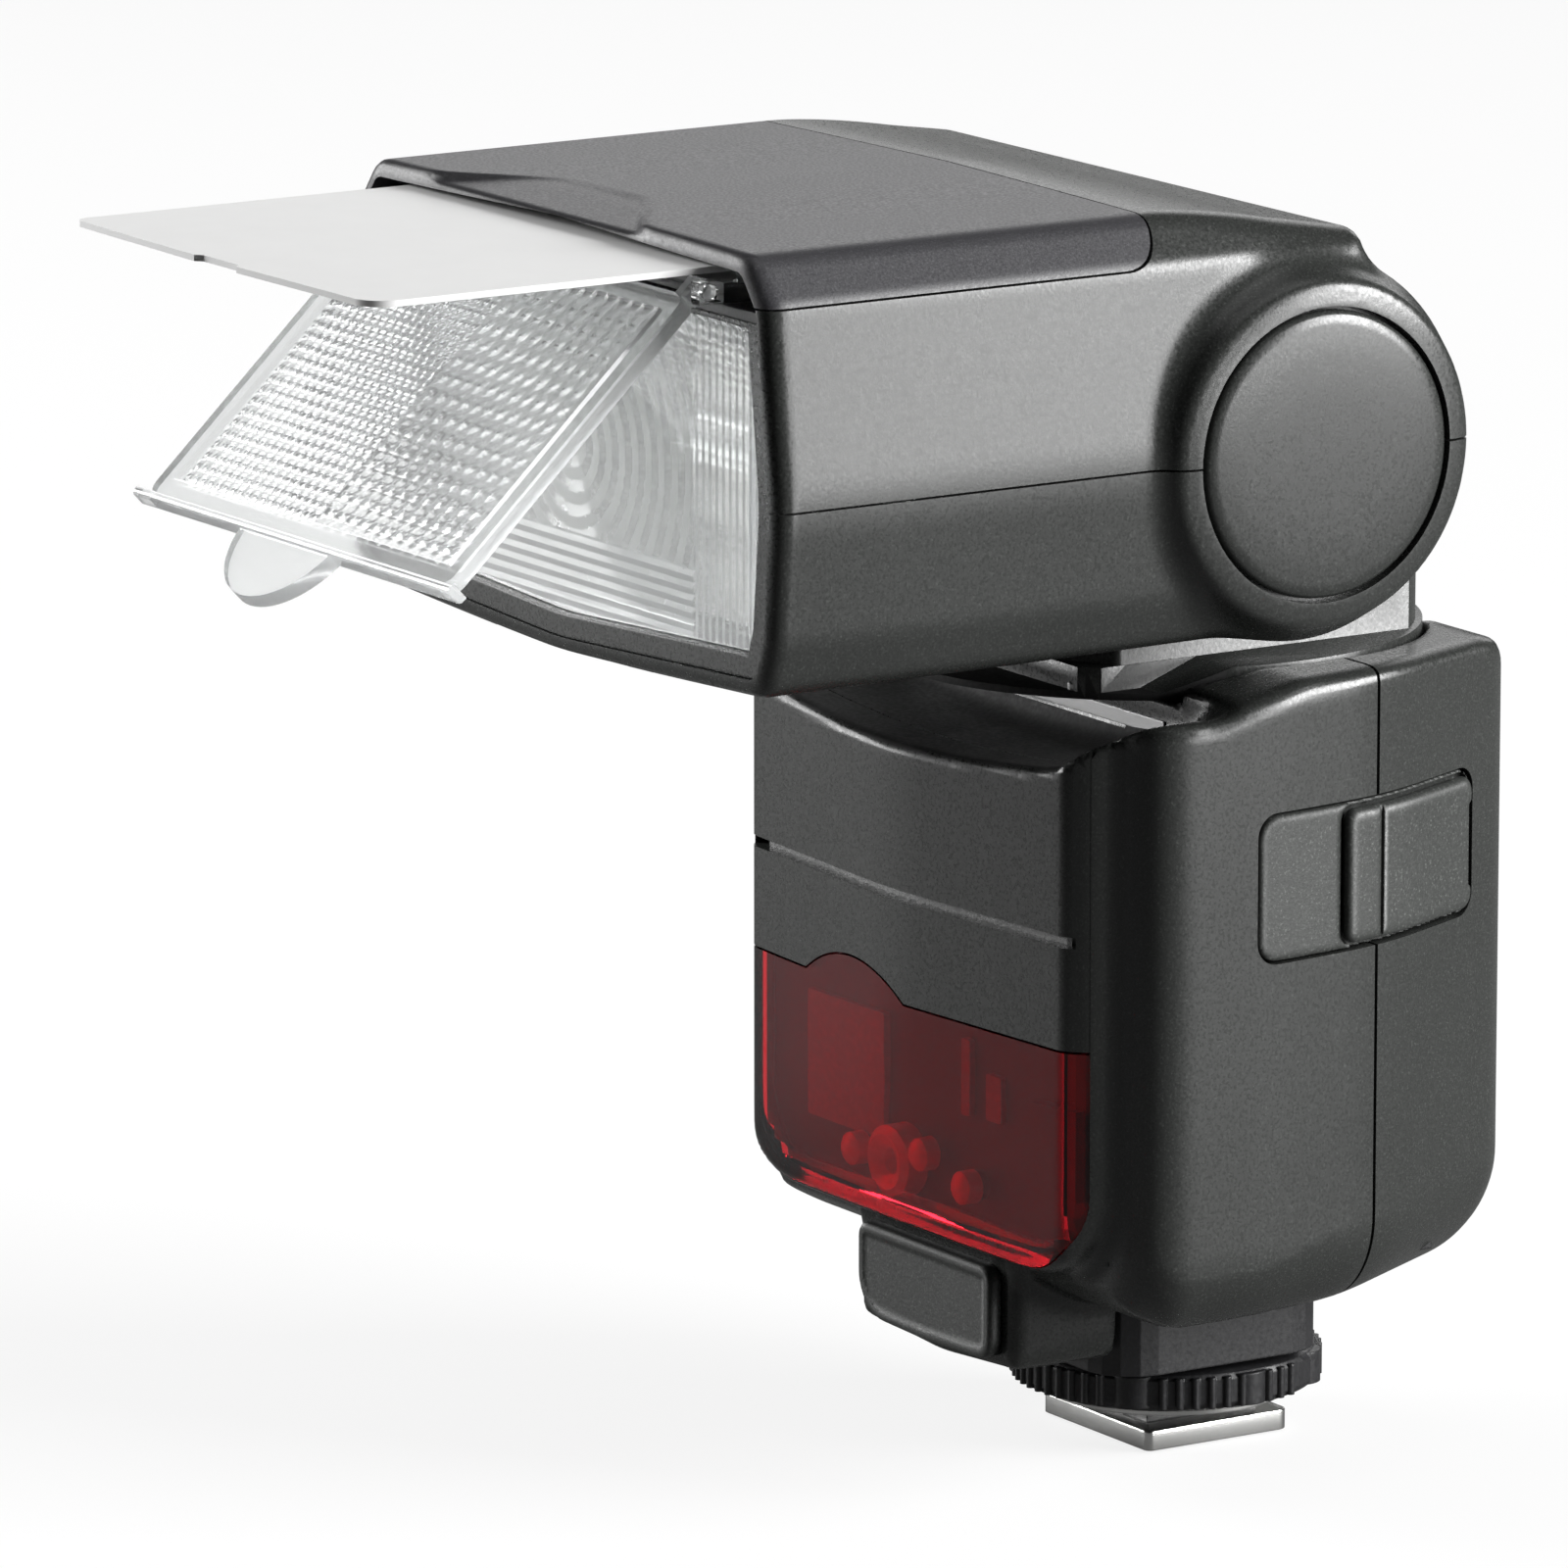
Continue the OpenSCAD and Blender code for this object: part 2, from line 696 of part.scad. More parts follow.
module control_hole(x0, x1, z0, z1, r) {
    along_y(panel_back - 1, panel_face + 1)
        round_rect(x0 - 0.2, x1 + 0.2, z0 - 0.2, z1 + 0.2, r);
}

key_w = 6.4;
key_h = 3.4;
key_pitch = 7.7;
screen_z = 55.4;
screen_top = control_top - 1.6;
side_key_w = 5;
side_key_h = 4.2;
side_key_x = 13;
side_key_z = dial_z + 6.6;
switch_x = 13.4;
switch_z = dial_z - 6.5;
switch_travel = 3.5;
set_r = 4.2;
hub_r = 5.8;

module key_place(i) translate([(i - 2.5) * key_pitch, 0, key_z]) children();

module control_panel() color("black") {
    difference() {
        along_y(panel_back, panel_face)
            round_rect(-control_half_w, control_half_w, control_z, control_top, 2.4);
        control_hole(-control_half_w + 1.8, control_half_w - 1.8, screen_z, screen_top, 1);
        for (i = [1:4]) key_place(i) control_hole(-key_w / 2, key_w / 2, -key_h / 2, key_h / 2, 1);
        for (s = [-1, 1]) translate([s * side_key_x, 0, side_key_z])
            control_hole(-side_key_w / 2, side_key_w / 2, -side_key_h / 2, side_key_h / 2, 1);
        control_hole(switch_x - 1, switch_x + 1, switch_z - 1.5, switch_z + switch_travel + 1.5, 0.8);
        rod_along_y(panel_back - 1, panel_face + 1, hub_r + fit, 0, dial_z);
    }
}

module screen_window() color("black") {
    along_y(panel_back + 0.1, panel_face)
        round_rect(-control_half_w + 1.9, control_half_w - 1.9, screen_z + 0.1, screen_top - 0.1, 0.9);
}

module screen() color("darkseagreen") {
    block(-control_half_w + 2.4, control_half_w - 2.4, board_rear + 0.1, panel_back, screen_z + 0.4,
        screen_top - 0.8);
}

module press_key(w, h) color("dimgray") {
    along_y(key_back, panel_face + button_proud) round_rect(-w / 2, w / 2, -h / 2, h / 2, 0.9);
}

module key_1() key_place(1) press_key(key_w, key_h);

module key_2() key_place(2) press_key(key_w, key_h);

module key_3() key_place(3) press_key(key_w, key_h);

module key_4() key_place(4) press_key(key_w, key_h);

module mode_button() translate([-side_key_x, 0, side_key_z]) press_key(side_key_w, side_key_h);

module test_button() translate([side_key_x, 0, side_key_z]) press_key(side_key_w, side_key_h);

module control_dial() color("dimgray") {
    difference() {
        union() {
            rod_along_y(panel_face + 0.3, panel_face + 2, dial_r, 0, dial_z);
            rod_along_y(panel_back - 0.6, panel_face + 1, hub_r, 0, dial_z);
        }
        rod_along_y(panel_back - 2, panel_face + 3, set_r + play, 0, dial_z);
        for (a = [0:15:345]) translate([0, 0, dial_z]) rotate([0, a, 0])
            rod_along_y(panel_face, panel_face + 3, 0.7, dial_r + 0.2, 0);
    }
}

module set_button() color("dimgray") {
    rod_along_y(key_back, panel_face + 2.2, set_r, 0, dial_z);
}

module power_switch() color("dimgray") {
    along_y(panel_face + 0.3, panel_face + 1.4)
        round_rect(switch_x - 2, switch_x + 2, switch_z - 1.9, switch_z + 1.9, 0.8);
    along_y(panel_back - 0.8, panel_face + 0.5)
        round_rect(switch_x - 0.9, switch_x + 0.9, switch_z - 1.4, switch_z + 1.4, 0.7);
}

// Base, ring and foot

module base_block() color("black") {
    difference() {
        union() {
            along_z(base_z, body_z) round_rect(-base_half_w, base_half_w, -base_front,
                base_rear, 5);
            rod_along_z(ring_z + ring_lip + play, base_z + 1, collar_r, 0, 0);
        }
        along_z(ring_z, base_z + 3.05)
            square([stem_w + 2 * seam, stem_d + 2 * seam], center = true);
        rod_along_z(base_z, base_z + 4, lock_pin_r + fit, 0, pin_y);
        screw_places() rod_along_z(base_z - 1, base_z + screw_head_t + 0.5, screw_head_r + 0.1, 0, 0);
        screw_places() rod_along_z(base_z, body_z + 1, screw_shank_r + 0.1, 0, 0);
    }
}

module foot_stem() color("black") {
    difference() {
        along_z(foot_t, base_z + 3) square([stem_w, stem_d], center = true);
        rod_along_z(0, base_z + 1, lock_pin_r + fit, 0, pin_y);
        contact_places() rod_along_z(foot_t - 1, foot_t + 3, contact_r + 0.05, 0, 0);
    }
}

module foot_plate() color("silver") {
    difference() {
        along_z(0, foot_t) round_rect(-foot_w / 2, foot_w / 2, -foot_d / 2, foot_d / 2, 0.6);
        rod_along_z(-1, foot_t + 1, lock_pin_r + fit, 0, pin_y);
        contact_places() rod_along_z(-1, foot_t + 1, contact_r + 0.05, 0, 0);
    }
}

contact_span = 3;

module contact_places() {
    children();
    for (x = [-1, 1], y = [-1, 1]) translate([x * contact_span, y * contact_span + 0.6, 0]) children();
}

module foot_contacts() color("gold") contact_places() rod_along_z(0, foot_t + 2.9, contact_r, 0, 0);

module locking_pin() color("silver") rod_along_z(0.3, base_z + 0.7, lock_pin_r, 0, pin_y);

module lock_ring() color("black") {
    lobe = 28;
    step = 5.4;
    difference() {
        rod_along_z(ring_z, ring_top, ring_r, 0, 0);
        rod_along_z(ring_z + ring_lip, ring_top + 1, collar_r + fit, 0, 0);
        rod_along_z(ring_z - 1, ring_top, foot_clear_r + play, 0, 0);
        for (q = [0:3], i = [0:rib_count - 1])
            rotate([0, 0, q * 90 + lobe + i * step]) translate([ring_r + 0.35, 0, ring_z - 1])
                cylinder(h = ring_h + 2, r = rib_depth, $fn = 4);
    }
}

module lock_washer() color("silver") {
    top = ring_z - play;
    difference() {
        rod_along_z(top - washer_t, top, collar_r + 1, 0, 0);
        along_z(top - washer_t - 1, top + 1)
            square([stem_w + 2 * play, stem_d + 2 * play], center = true);
    }
}

screw_head_r = 1.8;
screw_head_t = 1.5;
screw_shank_r = 0.9;

module screw_places() {
    for (x = [-1, 1]) translate([x * (base_half_w - 3.4), base_rear - 3.4, 0]) children();
}

module case_screws() color("silver") {
    screw_places() {
        rod_along_z(base_z + 0.5, base_z + 0.5 + screw_head_t, screw_head_r, 0, 0);
        rod_along_z(base_z + screw_head_t, body_z + wall + 1.1, screw_shank_r, 0, 0);
    }
}

// Turret

module swivel_plate() color("silver") {
    top = pocket_z - wall;
    difference() {
        block(-swivel_r - 12, swivel_r + 12, scoop_back + wall + 0.2, swivel_y + swivel_r * 2, top - 1.5, top - 0.05);
        rod_along_z(top - 3, top + 1, swivel_r + fit, 0, swivel_y);
    }
}

module swivel_shaft() color("silver") {
    difference() {
        rod_along_z(pocket_z - wall - 3.6, disc_z + 2, swivel_r, 0, swivel_y);
        rod_along_z(0, far, swivel_r - 1.6, 0, swivel_y);
    }
}

module swivel_clip() color("silver") {
    top = pocket_z - wall - 1.5;
    difference() {
        rod_along_z(top - 1.5, top - 0.3, swivel_r + 2, 0, swivel_y);
        rod_along_z(top - 3, top + 1, swivel_r + 0.02, 0, swivel_y);
    }
}

module turret() color("dimgray") {
    difference() {
        union() {
            rod_along_z(disc_z, disc_top, disc_r, 0, swivel_y);
            intersection() {
                along_x(-neck_half_w, neck_half_w)
                    polygon([[neck_front, disc_top - 1], [disc_r, disc_top - 1],
                        [disc_r, neck_top - 1], [neck_rear - 4, neck_top],
                        [tilt_y + drum_r * 0.9, neck_top + 1.2], [tilt_y + drum_r * 0.8, tilt_z],
                        [tilt_y - drum_r * 0.8, tilt_z],
                        [neck_front, head_under + 2]]);
                rod_along_z(disc_z, tilt_z + 1, disc_r - 0.7, 0, swivel_y);
                along_z(disc_z, tilt_z + 1) outline([[-neck_half_w + 6, neck_front, 1],
                    [neck_half_w - 6, neck_front, 1], [neck_half_w, neck_front + 3.4, 1],
                    [neck_half_w, disc_r, 0], [-neck_half_w, disc_r, 0],
                    [-neck_half_w, neck_front + 3.4, 1]]);
            }
            rod_along_x(-neck_half_w, neck_half_w, drum_r, tilt_y, tilt_z);
        }
        rod_along_x(-neck_half_w + 2, neck_half_w - 2, drum_r - 2, tilt_y, tilt_z);
        rod_along_x(-far, far, tilt_shaft_r + 0.02, tilt_y, tilt_z);
        along_z(disc_top + 1.5, tilt_z)
            round_rect(-neck_half_w + 2, neck_half_w - 2, neck_front + 2, tilt_y + 14, 2);
        rod_along_z(disc_z - 1, disc_z + 2.05, swivel_r + 0.02, 0, swivel_y);
        rod_along_z(disc_z, disc_top + 3, swivel_r - 1.6, 0, swivel_y);
    }
}

module tilt_shafts() color("silver") {
    both_x() difference() {
        rod_along_x(neck_half_w - 5, neck_half_w + 8, tilt_shaft_r, tilt_y, tilt_z);
        rod_along_x(0, far, tilt_shaft_r - 1.4, tilt_y, tilt_z);
    }
}

// Head

// The head's outer shape, or its hollow when d is the wall; the hollow runs out at the front
module head_solid(d) {
    reach = d > 0 ? 4 : 0;
    side = [for (p = HEAD_SIDE) [p.x == -head_front ? p.x - reach : p.x, p.y, p[2]]];
    intersection() {
        along_y(-head_front - 2, tilt_y + barrel_r + 1) outline(both_sides(HEAD_FACE), d);
        along_x(-head_half_w - 1, head_half_w + 1) outline(side, d);
    }
    rod_along_x(-ear_face_x + d, ear_face_x - d, barrel_r - d, tilt_y, tilt_z);
}

// The space that the turret's drum and neck need
module head_slot(grow) {
    half = head_slot_half_w + grow;
    rod_along_x(-half, half, head_slot_r + grow, tilt_y, tilt_z);
    block(-half, half, head_slot_rear - grow, far, 0, far);
    block(-half, half, head_slot_front - grow, far, 0, tilt_z);
}

module head_shell() {
    difference() {
        head_solid(0);
        difference() {
            head_solid(head_wall);
            head_slot(head_wall);
        }
        head_slot(0);
        rod_along_x(-head_slot_half_w - 3, head_slot_half_w + 3, tilt_shaft_r + fit, tilt_y, tilt_z);
    }
}

// Ribs inside the lower shell that hold the guide rods and the zoom screw
module rod_ribs() {
    difference() {
        intersection() {
            both_x() block(rod_x - 2.8, head_half_w, rib_y, rib_y + rib_t, head_under, rod_z + 2.4);
            head_solid(head_wall / 2);
        }
        both_x() rod_along_y(rib_y - 1, rib_y + 3, rod_r + 0.02, rod_x, rod_z);
        rod_along_y(rib_y - 1, rib_y + 3, screw_r + fit, screw_x, screw_z);
    }
}

module head_lower_shell() color("dimgray") {
    intersection() {
        head_shell();
        block(-far, far, -far, far, 0, split_z);
    }
    rod_ribs();
}

module lid_zone(clear) {
    block(-far, far, -head_front - 2, -lid_rear + clear, lid_z - clear, far);
}

module head_upper_shell() color("dimgray") {
    difference() {
        intersection() {
            head_shell();
            block(-far, far, -far, far, split_z, far);
        }
        lid_zone(seam);
    }
}

module head_lid() color("dimgray") {
    intersection() {
        head_shell();
        lid_zone(0);
    }
}

module head_caps() color("gray") {
    both_x() rod_along_x(ear_face_x, cap_x, cap_r, tilt_y, tilt_z);
}

module window_outline(inset, top) {
    intersection() {
        outline(both_sides(HEAD_FACE), inset);
        translate([-far, 0]) square([2 * far, top]);
    }
}

module front_bezel() color("dimgray") {
    difference() {
        along_y(bezel_front, bezel_back) window_outline(head_wall + seam, tray_z - 0.05);
        along_y(bezel_front - 1, lens_front + lens_t + 0.05)
            window_outline(lens_inset - 0.1, lens_top + 0.1);
        along_y(bezel_front, bezel_back + 1) window_outline(lens_inset + 1, lens_top - 1);
    }
}

module lens() color("white", 0.4) {
    along_y(lens_front, lens_front + lens_t) window_outline(lens_inset, lens_top);
}

module slot_tray() color("black") {
    block(-head_half_w + 4.4, head_half_w - 4.4, bezel_front, -lid_rear + 1, tray_z,
        tray_z + tray_t);
}

module panel_carrier() color("white", 0.4) {
    ear_x = wide_half_w + play;
    difference() {
        union() {
            block(-ear_x - 1.4, ear_x + 1.4, hinge_y + 2, hinge_y + 7, tray_z + tray_t + 0.1,
                hinge_z + 0.6);
            both_x() block(ear_x, ear_x + 1.4, hinge_y - 1.2, hinge_y + 3, hinge_z - 1.1, hinge_z + 1);
        }
        both_x() rod_along_x(ear_x - 1, ear_x + 3, 0.8 + fit, hinge_y, hinge_z);
    }
}

module bounce_card() color("white") {
    card = [[-card_half_w, -head_front - card_out + 0.6, 1.5], [0, -head_front - card_out, 90],
        [card_half_w, -head_front - card_out + 0.6, 3], [card_half_w, -head_front + 8, 0],
        [-card_half_w, -head_front + 8, 0]];
    along_z(card_z - card_t / 2, card_z + card_t / 2) outline(card);
}

module wide_panel() color("white", 0.4) {
    lip_h = wide_t + 0.5;
    translate([0, hinge_y, hinge_z]) rotate([wide_angle, 0, 0]) {
        difference() {
            block(-wide_half_w, wide_half_w, -wide_l, -1.3, -wide_t / 2, wide_t / 2);
            block(-wide_half_w + 2.4, wide_half_w - 2.4, -wide_l + 2.2, -3.4, -wide_t / 2 + 0.9,
                wide_t);
        }
        block(-wide_half_w - 1.5, wide_half_w + 1.5, -wide_l - 0.9, -wide_l, -wide_t / 2, lip_h / 2 + 0.2);
        intersection() {
            translate([-1, -wide_l + 1, -wide_t / 2]) cylinder(h = wide_t, r = 8.4);
            block(-20, 20, -wide_l - 10, -wide_l - 0.5, -2, 2);
        }
        both_x() block(wide_half_w - 2, wide_half_w, -1.4, 0.8, -wide_t / 2, wide_t / 2);
        both_x() rod_along_x(wide_half_w - 1, wide_half_w + play + 1.2, 0.8, 0, 0);
    }
}

// Lamp and its zoom drive

module reflector_bowl(d) {
    half = reflector_h / 2 - d;
    back = -reflector_front + reflector_d - d;
    polygon([[-reflector_front, half], [-reflector_front, -half], [back - 8, -half + 3.4],
        [back - 2.4, -half + 7.6], [back, -4.4 + d], [back, 4.4 - d], [back - 2.4, half - 7.6],
        [back - 8, half - 3.4]]);
}

module reflector() color("silver") {
    half_w = reflector_w / 2;
    difference() {
        translate([0, 0, reflector_z]) along_x(-half_w, half_w) reflector_bowl(0);
        translate([0, 0, reflector_z]) along_x(-half_w + mirror_t, half_w - mirror_t)
            translate([-0.01, 0]) reflector_bowl(mirror_t);
        rod_along_x(-far, far, tube_r + 0.05, tube_y, reflector_z);
    }
}

module flash_tube() color("white", 0.4) {
    rod_along_x(-reflector_w / 2 - 1.6, reflector_w / 2 + 1.6, tube_r, tube_y, reflector_z);
}

module zoom_carriage() color("black") {
    y1 = carriage_y + carriage_t;
    difference() {
        union() {
            block(-rod_x - 1.2, rod_x + 1.2, carriage_y, y1, rod_z - 2.4, reflector_z + 8);
            both_x() rod_along_y(carriage_y - 3, y1, 2.4, rod_x, rod_z);
            block(reflector_w / 2 + 0.4, screw_x + 2.2, carriage_y, y1, screw_z - 2.2, rod_z);
        }
        both_x() rod_along_y(carriage_y - 4, y1 + 1, rod_r + fit, rod_x, rod_z);
        rod_along_y(carriage_y - 4, y1 + 1, screw_r + fit, screw_x, screw_z);
    }
}

module guide_rods() color("silver") {
    both_x() rod_along_y(bezel_back, rib_y + rib_t, rod_r, rod_x, rod_z);
}

motor_y = bezel_back + motor_l;

module zoom_motor() color("silver") {
    difference() {
        rod_along_y(bezel_back + seam, motor_y, motor_r, screw_x, screw_z);
        rod_along_y(motor_y - 3, motor_y + 1, screw_r + fit, screw_x, screw_z);
    }
}

module zoom_screw() color("silver") {
    rod_along_y(motor_y - 2.8, rib_y + rib_t, screw_r, screw_x, screw_z);
}

foot_plate();
foot_stem();
foot_contacts();
locking_pin();
lock_ring();
lock_washer();
base_block();
front_shell();
rear_shell();
front_panel();
red_window();
focus_lamp();
charge_socket();
charge_flap();
side_cover();
side_flap();
sync_socket();
power_socket();
battery_cage();
battery_cells();
battery_contacts();
battery_door();
door_latch();
main_board();
flash_capacitor();
rear_board();
screen();
screen_window();
control_panel();
control_dial();
set_button();
power_switch();
key_1();
key_2();
key_3();
key_4();
mode_button();
test_button();
swivel_plate();
case_screws();
turret();
swivel_shaft();
swivel_clip();
tilt_shafts();
head_lower_shell();
head_upper_shell();
head_lid();
head_caps();
front_bezel();
lens();
slot_tray();
panel_carrier();
bounce_card();
wide_panel();
reflector();
flash_tube();
zoom_carriage();
guide_rods();
zoom_motor();
zoom_screw();
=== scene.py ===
import json
import math

import bmesh
import bpy
import numpy as np
from mathutils import Matrix, Vector

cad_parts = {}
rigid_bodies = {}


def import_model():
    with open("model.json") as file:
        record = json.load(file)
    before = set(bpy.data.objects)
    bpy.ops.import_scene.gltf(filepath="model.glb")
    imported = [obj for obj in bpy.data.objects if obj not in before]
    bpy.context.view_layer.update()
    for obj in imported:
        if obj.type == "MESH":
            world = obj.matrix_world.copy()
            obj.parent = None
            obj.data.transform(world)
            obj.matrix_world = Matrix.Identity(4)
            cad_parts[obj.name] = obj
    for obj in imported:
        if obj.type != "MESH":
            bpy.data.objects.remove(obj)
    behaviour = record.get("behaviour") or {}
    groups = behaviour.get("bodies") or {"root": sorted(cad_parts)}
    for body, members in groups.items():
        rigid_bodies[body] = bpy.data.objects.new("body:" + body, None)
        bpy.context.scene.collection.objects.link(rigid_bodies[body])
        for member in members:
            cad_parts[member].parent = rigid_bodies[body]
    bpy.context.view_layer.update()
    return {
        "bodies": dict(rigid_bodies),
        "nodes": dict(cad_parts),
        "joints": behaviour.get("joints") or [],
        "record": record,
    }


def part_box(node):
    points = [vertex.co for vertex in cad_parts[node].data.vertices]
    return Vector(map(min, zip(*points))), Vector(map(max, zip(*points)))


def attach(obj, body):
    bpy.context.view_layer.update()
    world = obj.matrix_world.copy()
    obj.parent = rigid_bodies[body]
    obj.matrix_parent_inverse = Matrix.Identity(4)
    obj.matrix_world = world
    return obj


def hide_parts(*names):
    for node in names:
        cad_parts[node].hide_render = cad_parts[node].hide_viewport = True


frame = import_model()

cadNodes = frame["nodes"]
mm = 0.001
far = 60    # well outside the object, for cutters, in millimetres
print("frame loaded:", len(cadNodes), "nodes")

# --- outlines and solid shapes, in millimetres ---


def roundCorners(points, steps=8):
    out = []
    count = len(points)
    for i, (x, y, r) in enumerate(points):
        here = np.array([x, y], float)
        if r <= 0:
            out.append(here)
            continue
        before = np.array(points[i - 1][:2], float) - here
        after = np.array(points[(i + 1) % count][:2], float) - here
        u = before / np.linalg.norm(before)
        v = after / np.linalg.norm(after)
        half = math.acos(max(-1.0, min(1.0, float(u @ v)))) / 2
        start = here + u * r / math.tan(half)
        end = here + v * r / math.tan(half)
        centre = here + (u + v) / np.linalg.norm(u + v) * r / math.sin(half)
        a0 = math.atan2(*(start - centre)[::-1])
        sweep = (math.atan2(*(end - centre)[::-1]) - a0 + math.pi) % (2 * math.pi) - math.pi
        for t in np.linspace(0, 1, steps + 1):
            angle = a0 + sweep * t
            out.append(centre + r * np.array([math.cos(angle), math.sin(angle)]))
    return np.array(out)


def roundBox(x0, y0, x1, y1, radius, steps=8):
    return roundCorners([(x0, y0, radius), (x1, y0, radius), (x1, y1, radius), (x0, y1, radius)], steps)


def mirrored(points):
    return points + [(-x, y, r) for x, y, r in points[-2:0:-1]]


def insetCorners(points, d):
    out = []
    count = len(points)
    for i, (x, y, r) in enumerate(points):
        b = np.array([x, y], float)
        a = np.array(points[i - 1][:2], float)
        c = np.array(points[(i + 1) % count][:2], float)
        u = (b - a) / np.linalg.norm(b - a)
        v = (c - b) / np.linalg.norm(c - b)
        n = np.array([-u[1], u[0]]) + np.array([-v[1], v[0]])
        q = b + n * d / (1 + (-u[1] * -v[1] + u[0] * v[0]))
        out.append((q[0], q[1], max(0.3, r - d) if r else 0))
    return out


def outlineDistance(px, py, outline):
    # signed distance to a closed outline, negative inside
    best = None
    inside = None
    previous = outline[-1]
    for here in outline:
        ex, ey = here - previous
        wx, wy = px - previous[0], py - previous[1]
        length = ex * ex + ey * ey
        if length < 1e-12:
            continue
        t = np.clip((wx * ex + wy * ey) / length, 0, 1)
        gap = (wx - ex * t) ** 2 + (wy - ey * t) ** 2
        crossing = ((previous[1] <= py) != (here[1] <= py)) & ((ex * wy - ey * wx > 0) == (ey > 0))
        best = gap if best is None else np.minimum(best, gap)
        inside = crossing if inside is None else inside ^ crossing
        previous = here
    return np.sqrt(best) * np.where(inside, -1.0, 1.0)


def blendMax(a, b, soft):
    h = np.clip(0.5 + 0.5 * (a - b) / soft, 0, 1)
    return b * (1 - h) + a * h + soft * h * (1 - h)


def blendMin(a, b, soft):
    return -blendMax(-a, -b, soft)


def boxDistance(x, y, z, low, high, soft=0.5):
    dx = np.maximum(low[0] - x, x - high[0])
    dy = np.maximum(low[1] - y, y - high[1])
    dz = np.maximum(low[2] - z, z - high[2])
    return blendMax(blendMax(dx, dy, soft), dz, soft)


def gradient(shape, p, step=0.15):
    g = np.zeros_like(p)
    for sign in ((1, -1, -1), (-1, -1, 1), (-1, 1, -1), (1, 1, 1)):
        q = p + np.array(sign) * step
        g += np.array(sign) * shape(q[:, 0], q[:, 1], q[:, 2])[:, None]
    return g / (4 * step)


def skinOf(shape, low, high, step):
    # quads round the surface where shape() is zero, each corner moved onto the surface
    axes = [np.arange(a - step * 1.5, b + step * 1.5, step) for a, b in zip(low, high)]
    value = shape(axes[0][:, None, None], axes[1][None, :, None], axes[2][None, None, :])
    inside = np.broadcast_to(value, [len(a) for a in axes]) < 0
    total = sum(inside[i:inside.shape[0] - 1 + i, j:inside.shape[1] - 1 + j, k:inside.shape[2] - 1 + k]
                .astype(np.int8) for i in (0, 1) for j in (0, 1) for k in (0, 1))
    active = (total > 0) & (total < 8)
    index = np.full(active.shape, -1)
    index[active] = np.arange(active.sum())
    points = np.stack([axes[n][c] + step / 2 for n, c in enumerate(np.nonzero(active))], 1)
    start = points.copy()
    for _ in range(4):
        g = gradient(shape, points)
        f = shape(points[:, 0], points[:, 1], points[:, 2])
        points -= g * (f / np.maximum((g * g).sum(1), 0.2))[:, None]
        points = start + np.clip(points - start, -step * 0.9, step * 0.9)
    faces = []
    for axis in range(3):
        order = [axis, (axis + 1) % 3, (axis + 2) % 3]
        solid = inside.transpose(order)
        cells = index.transpose(order)
        i, j, k = np.nonzero(solid[:-1, 1:-1, 1:-1] != solid[1:, 1:-1, 1:-1])
        quad = np.stack([cells[i, j, k], cells[i, j + 1, k], cells[i, j + 1, k + 1], cells[i, j, k + 1]], 1)
        turned = ~solid[i, j + 1, k + 1]
        quad[turned] = quad[turned][:, ::-1]
        faces.append(quad)
    return points, np.concatenate(faces)


def meshObject(name, points, faces):
    mesh = bpy.data.meshes.new(name)
    mesh.from_pydata((np.asarray(points) * mm).tolist(), [], [list(map(int, f)) for f in faces])
    mesh.validate()
    piece = bpy.data.objects.new(name, mesh)
    bpy.context.scene.collection.objects.link(piece)
    return piece


def grown(name, shape, low, high, step):
    points, faces = skinOf(shape, low, high, step)
    print("  ", name, len(points), "points")
    return meshObject(name, points, faces)


def prism(name, outline, axis, low, high):
    # an outline pushed along axis 0, 1 or 2; its two coordinates are the other axes in order
    count = len(outline)
    others = [n for n in range(3) if n != axis]
    points = np.zeros((2 * count, 3))
    for row, level in enumerate((low, high)):
        points[row * count:(row + 1) * count, others[0]] = outline[:, 0]
        points[row * count:(row + 1) * count, others[1]] = outline[:, 1]
        points[row * count:(row + 1) * count, axis] = level
    faces = [list(range(count)), list(range(2 * count - 1, count - 1, -1))]
    faces += [[i, i + count, (i + 1) % count + count, (i + 1) % count] for i in range(count)]
    piece = meshObject(name, points, faces)
    tidyNormals(piece)
    return piece


def block(name, low, high):
    return prism(name, roundBox(*low[:2], *high[:2], 0), 2, low[2], high[2])


def nodeBox(name):
    # the two corners of a CAD node's box, in millimetres
    return [np.array(corner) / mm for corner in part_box(name)]


def rod(name, axis, low, high, radius, centre, sides=48):
    angles = np.linspace(0, 2 * math.pi, sides, endpoint=False)
    ring = np.stack([centre[0] + radius * np.cos(angles), centre[1] + radius * np.sin(angles)], 1)
    return prism(name, ring, axis, low, high)


def tidyNormals(piece):
    work = bmesh.new()
    work.from_mesh(piece.data)
    bmesh.ops.recalc_face_normals(work, faces=work.faces)
    work.to_mesh(piece.data)
    work.free()


def settle(piece):
    # applies the modifiers, so that only a plain mesh is left
    bpy.context.view_layer.update()
    done = bpy.data.meshes.new_from_object(piece.evaluated_get(bpy.context.evaluated_depsgraph_get()))
    piece.modifiers.clear()
    old = piece.data
    piece.data = done
    bpy.data.meshes.remove(old)
    return piece


def carve(piece, cutters, how="DIFFERENCE"):
    for cutter in cutters:
        cut = piece.modifiers.new("cut", "BOOLEAN")
        cut.operation = how
        cut.solver = "MANIFOLD"
        cut.object = cutter
        settle(piece)
        bpy.data.objects.remove(cutter)
    return piece


def twin(piece, name):
    copy = piece.copy()
    copy.data = piece.data.copy()
    copy.name = name
    bpy.context.scene.collection.objects.link(copy)
    return copy


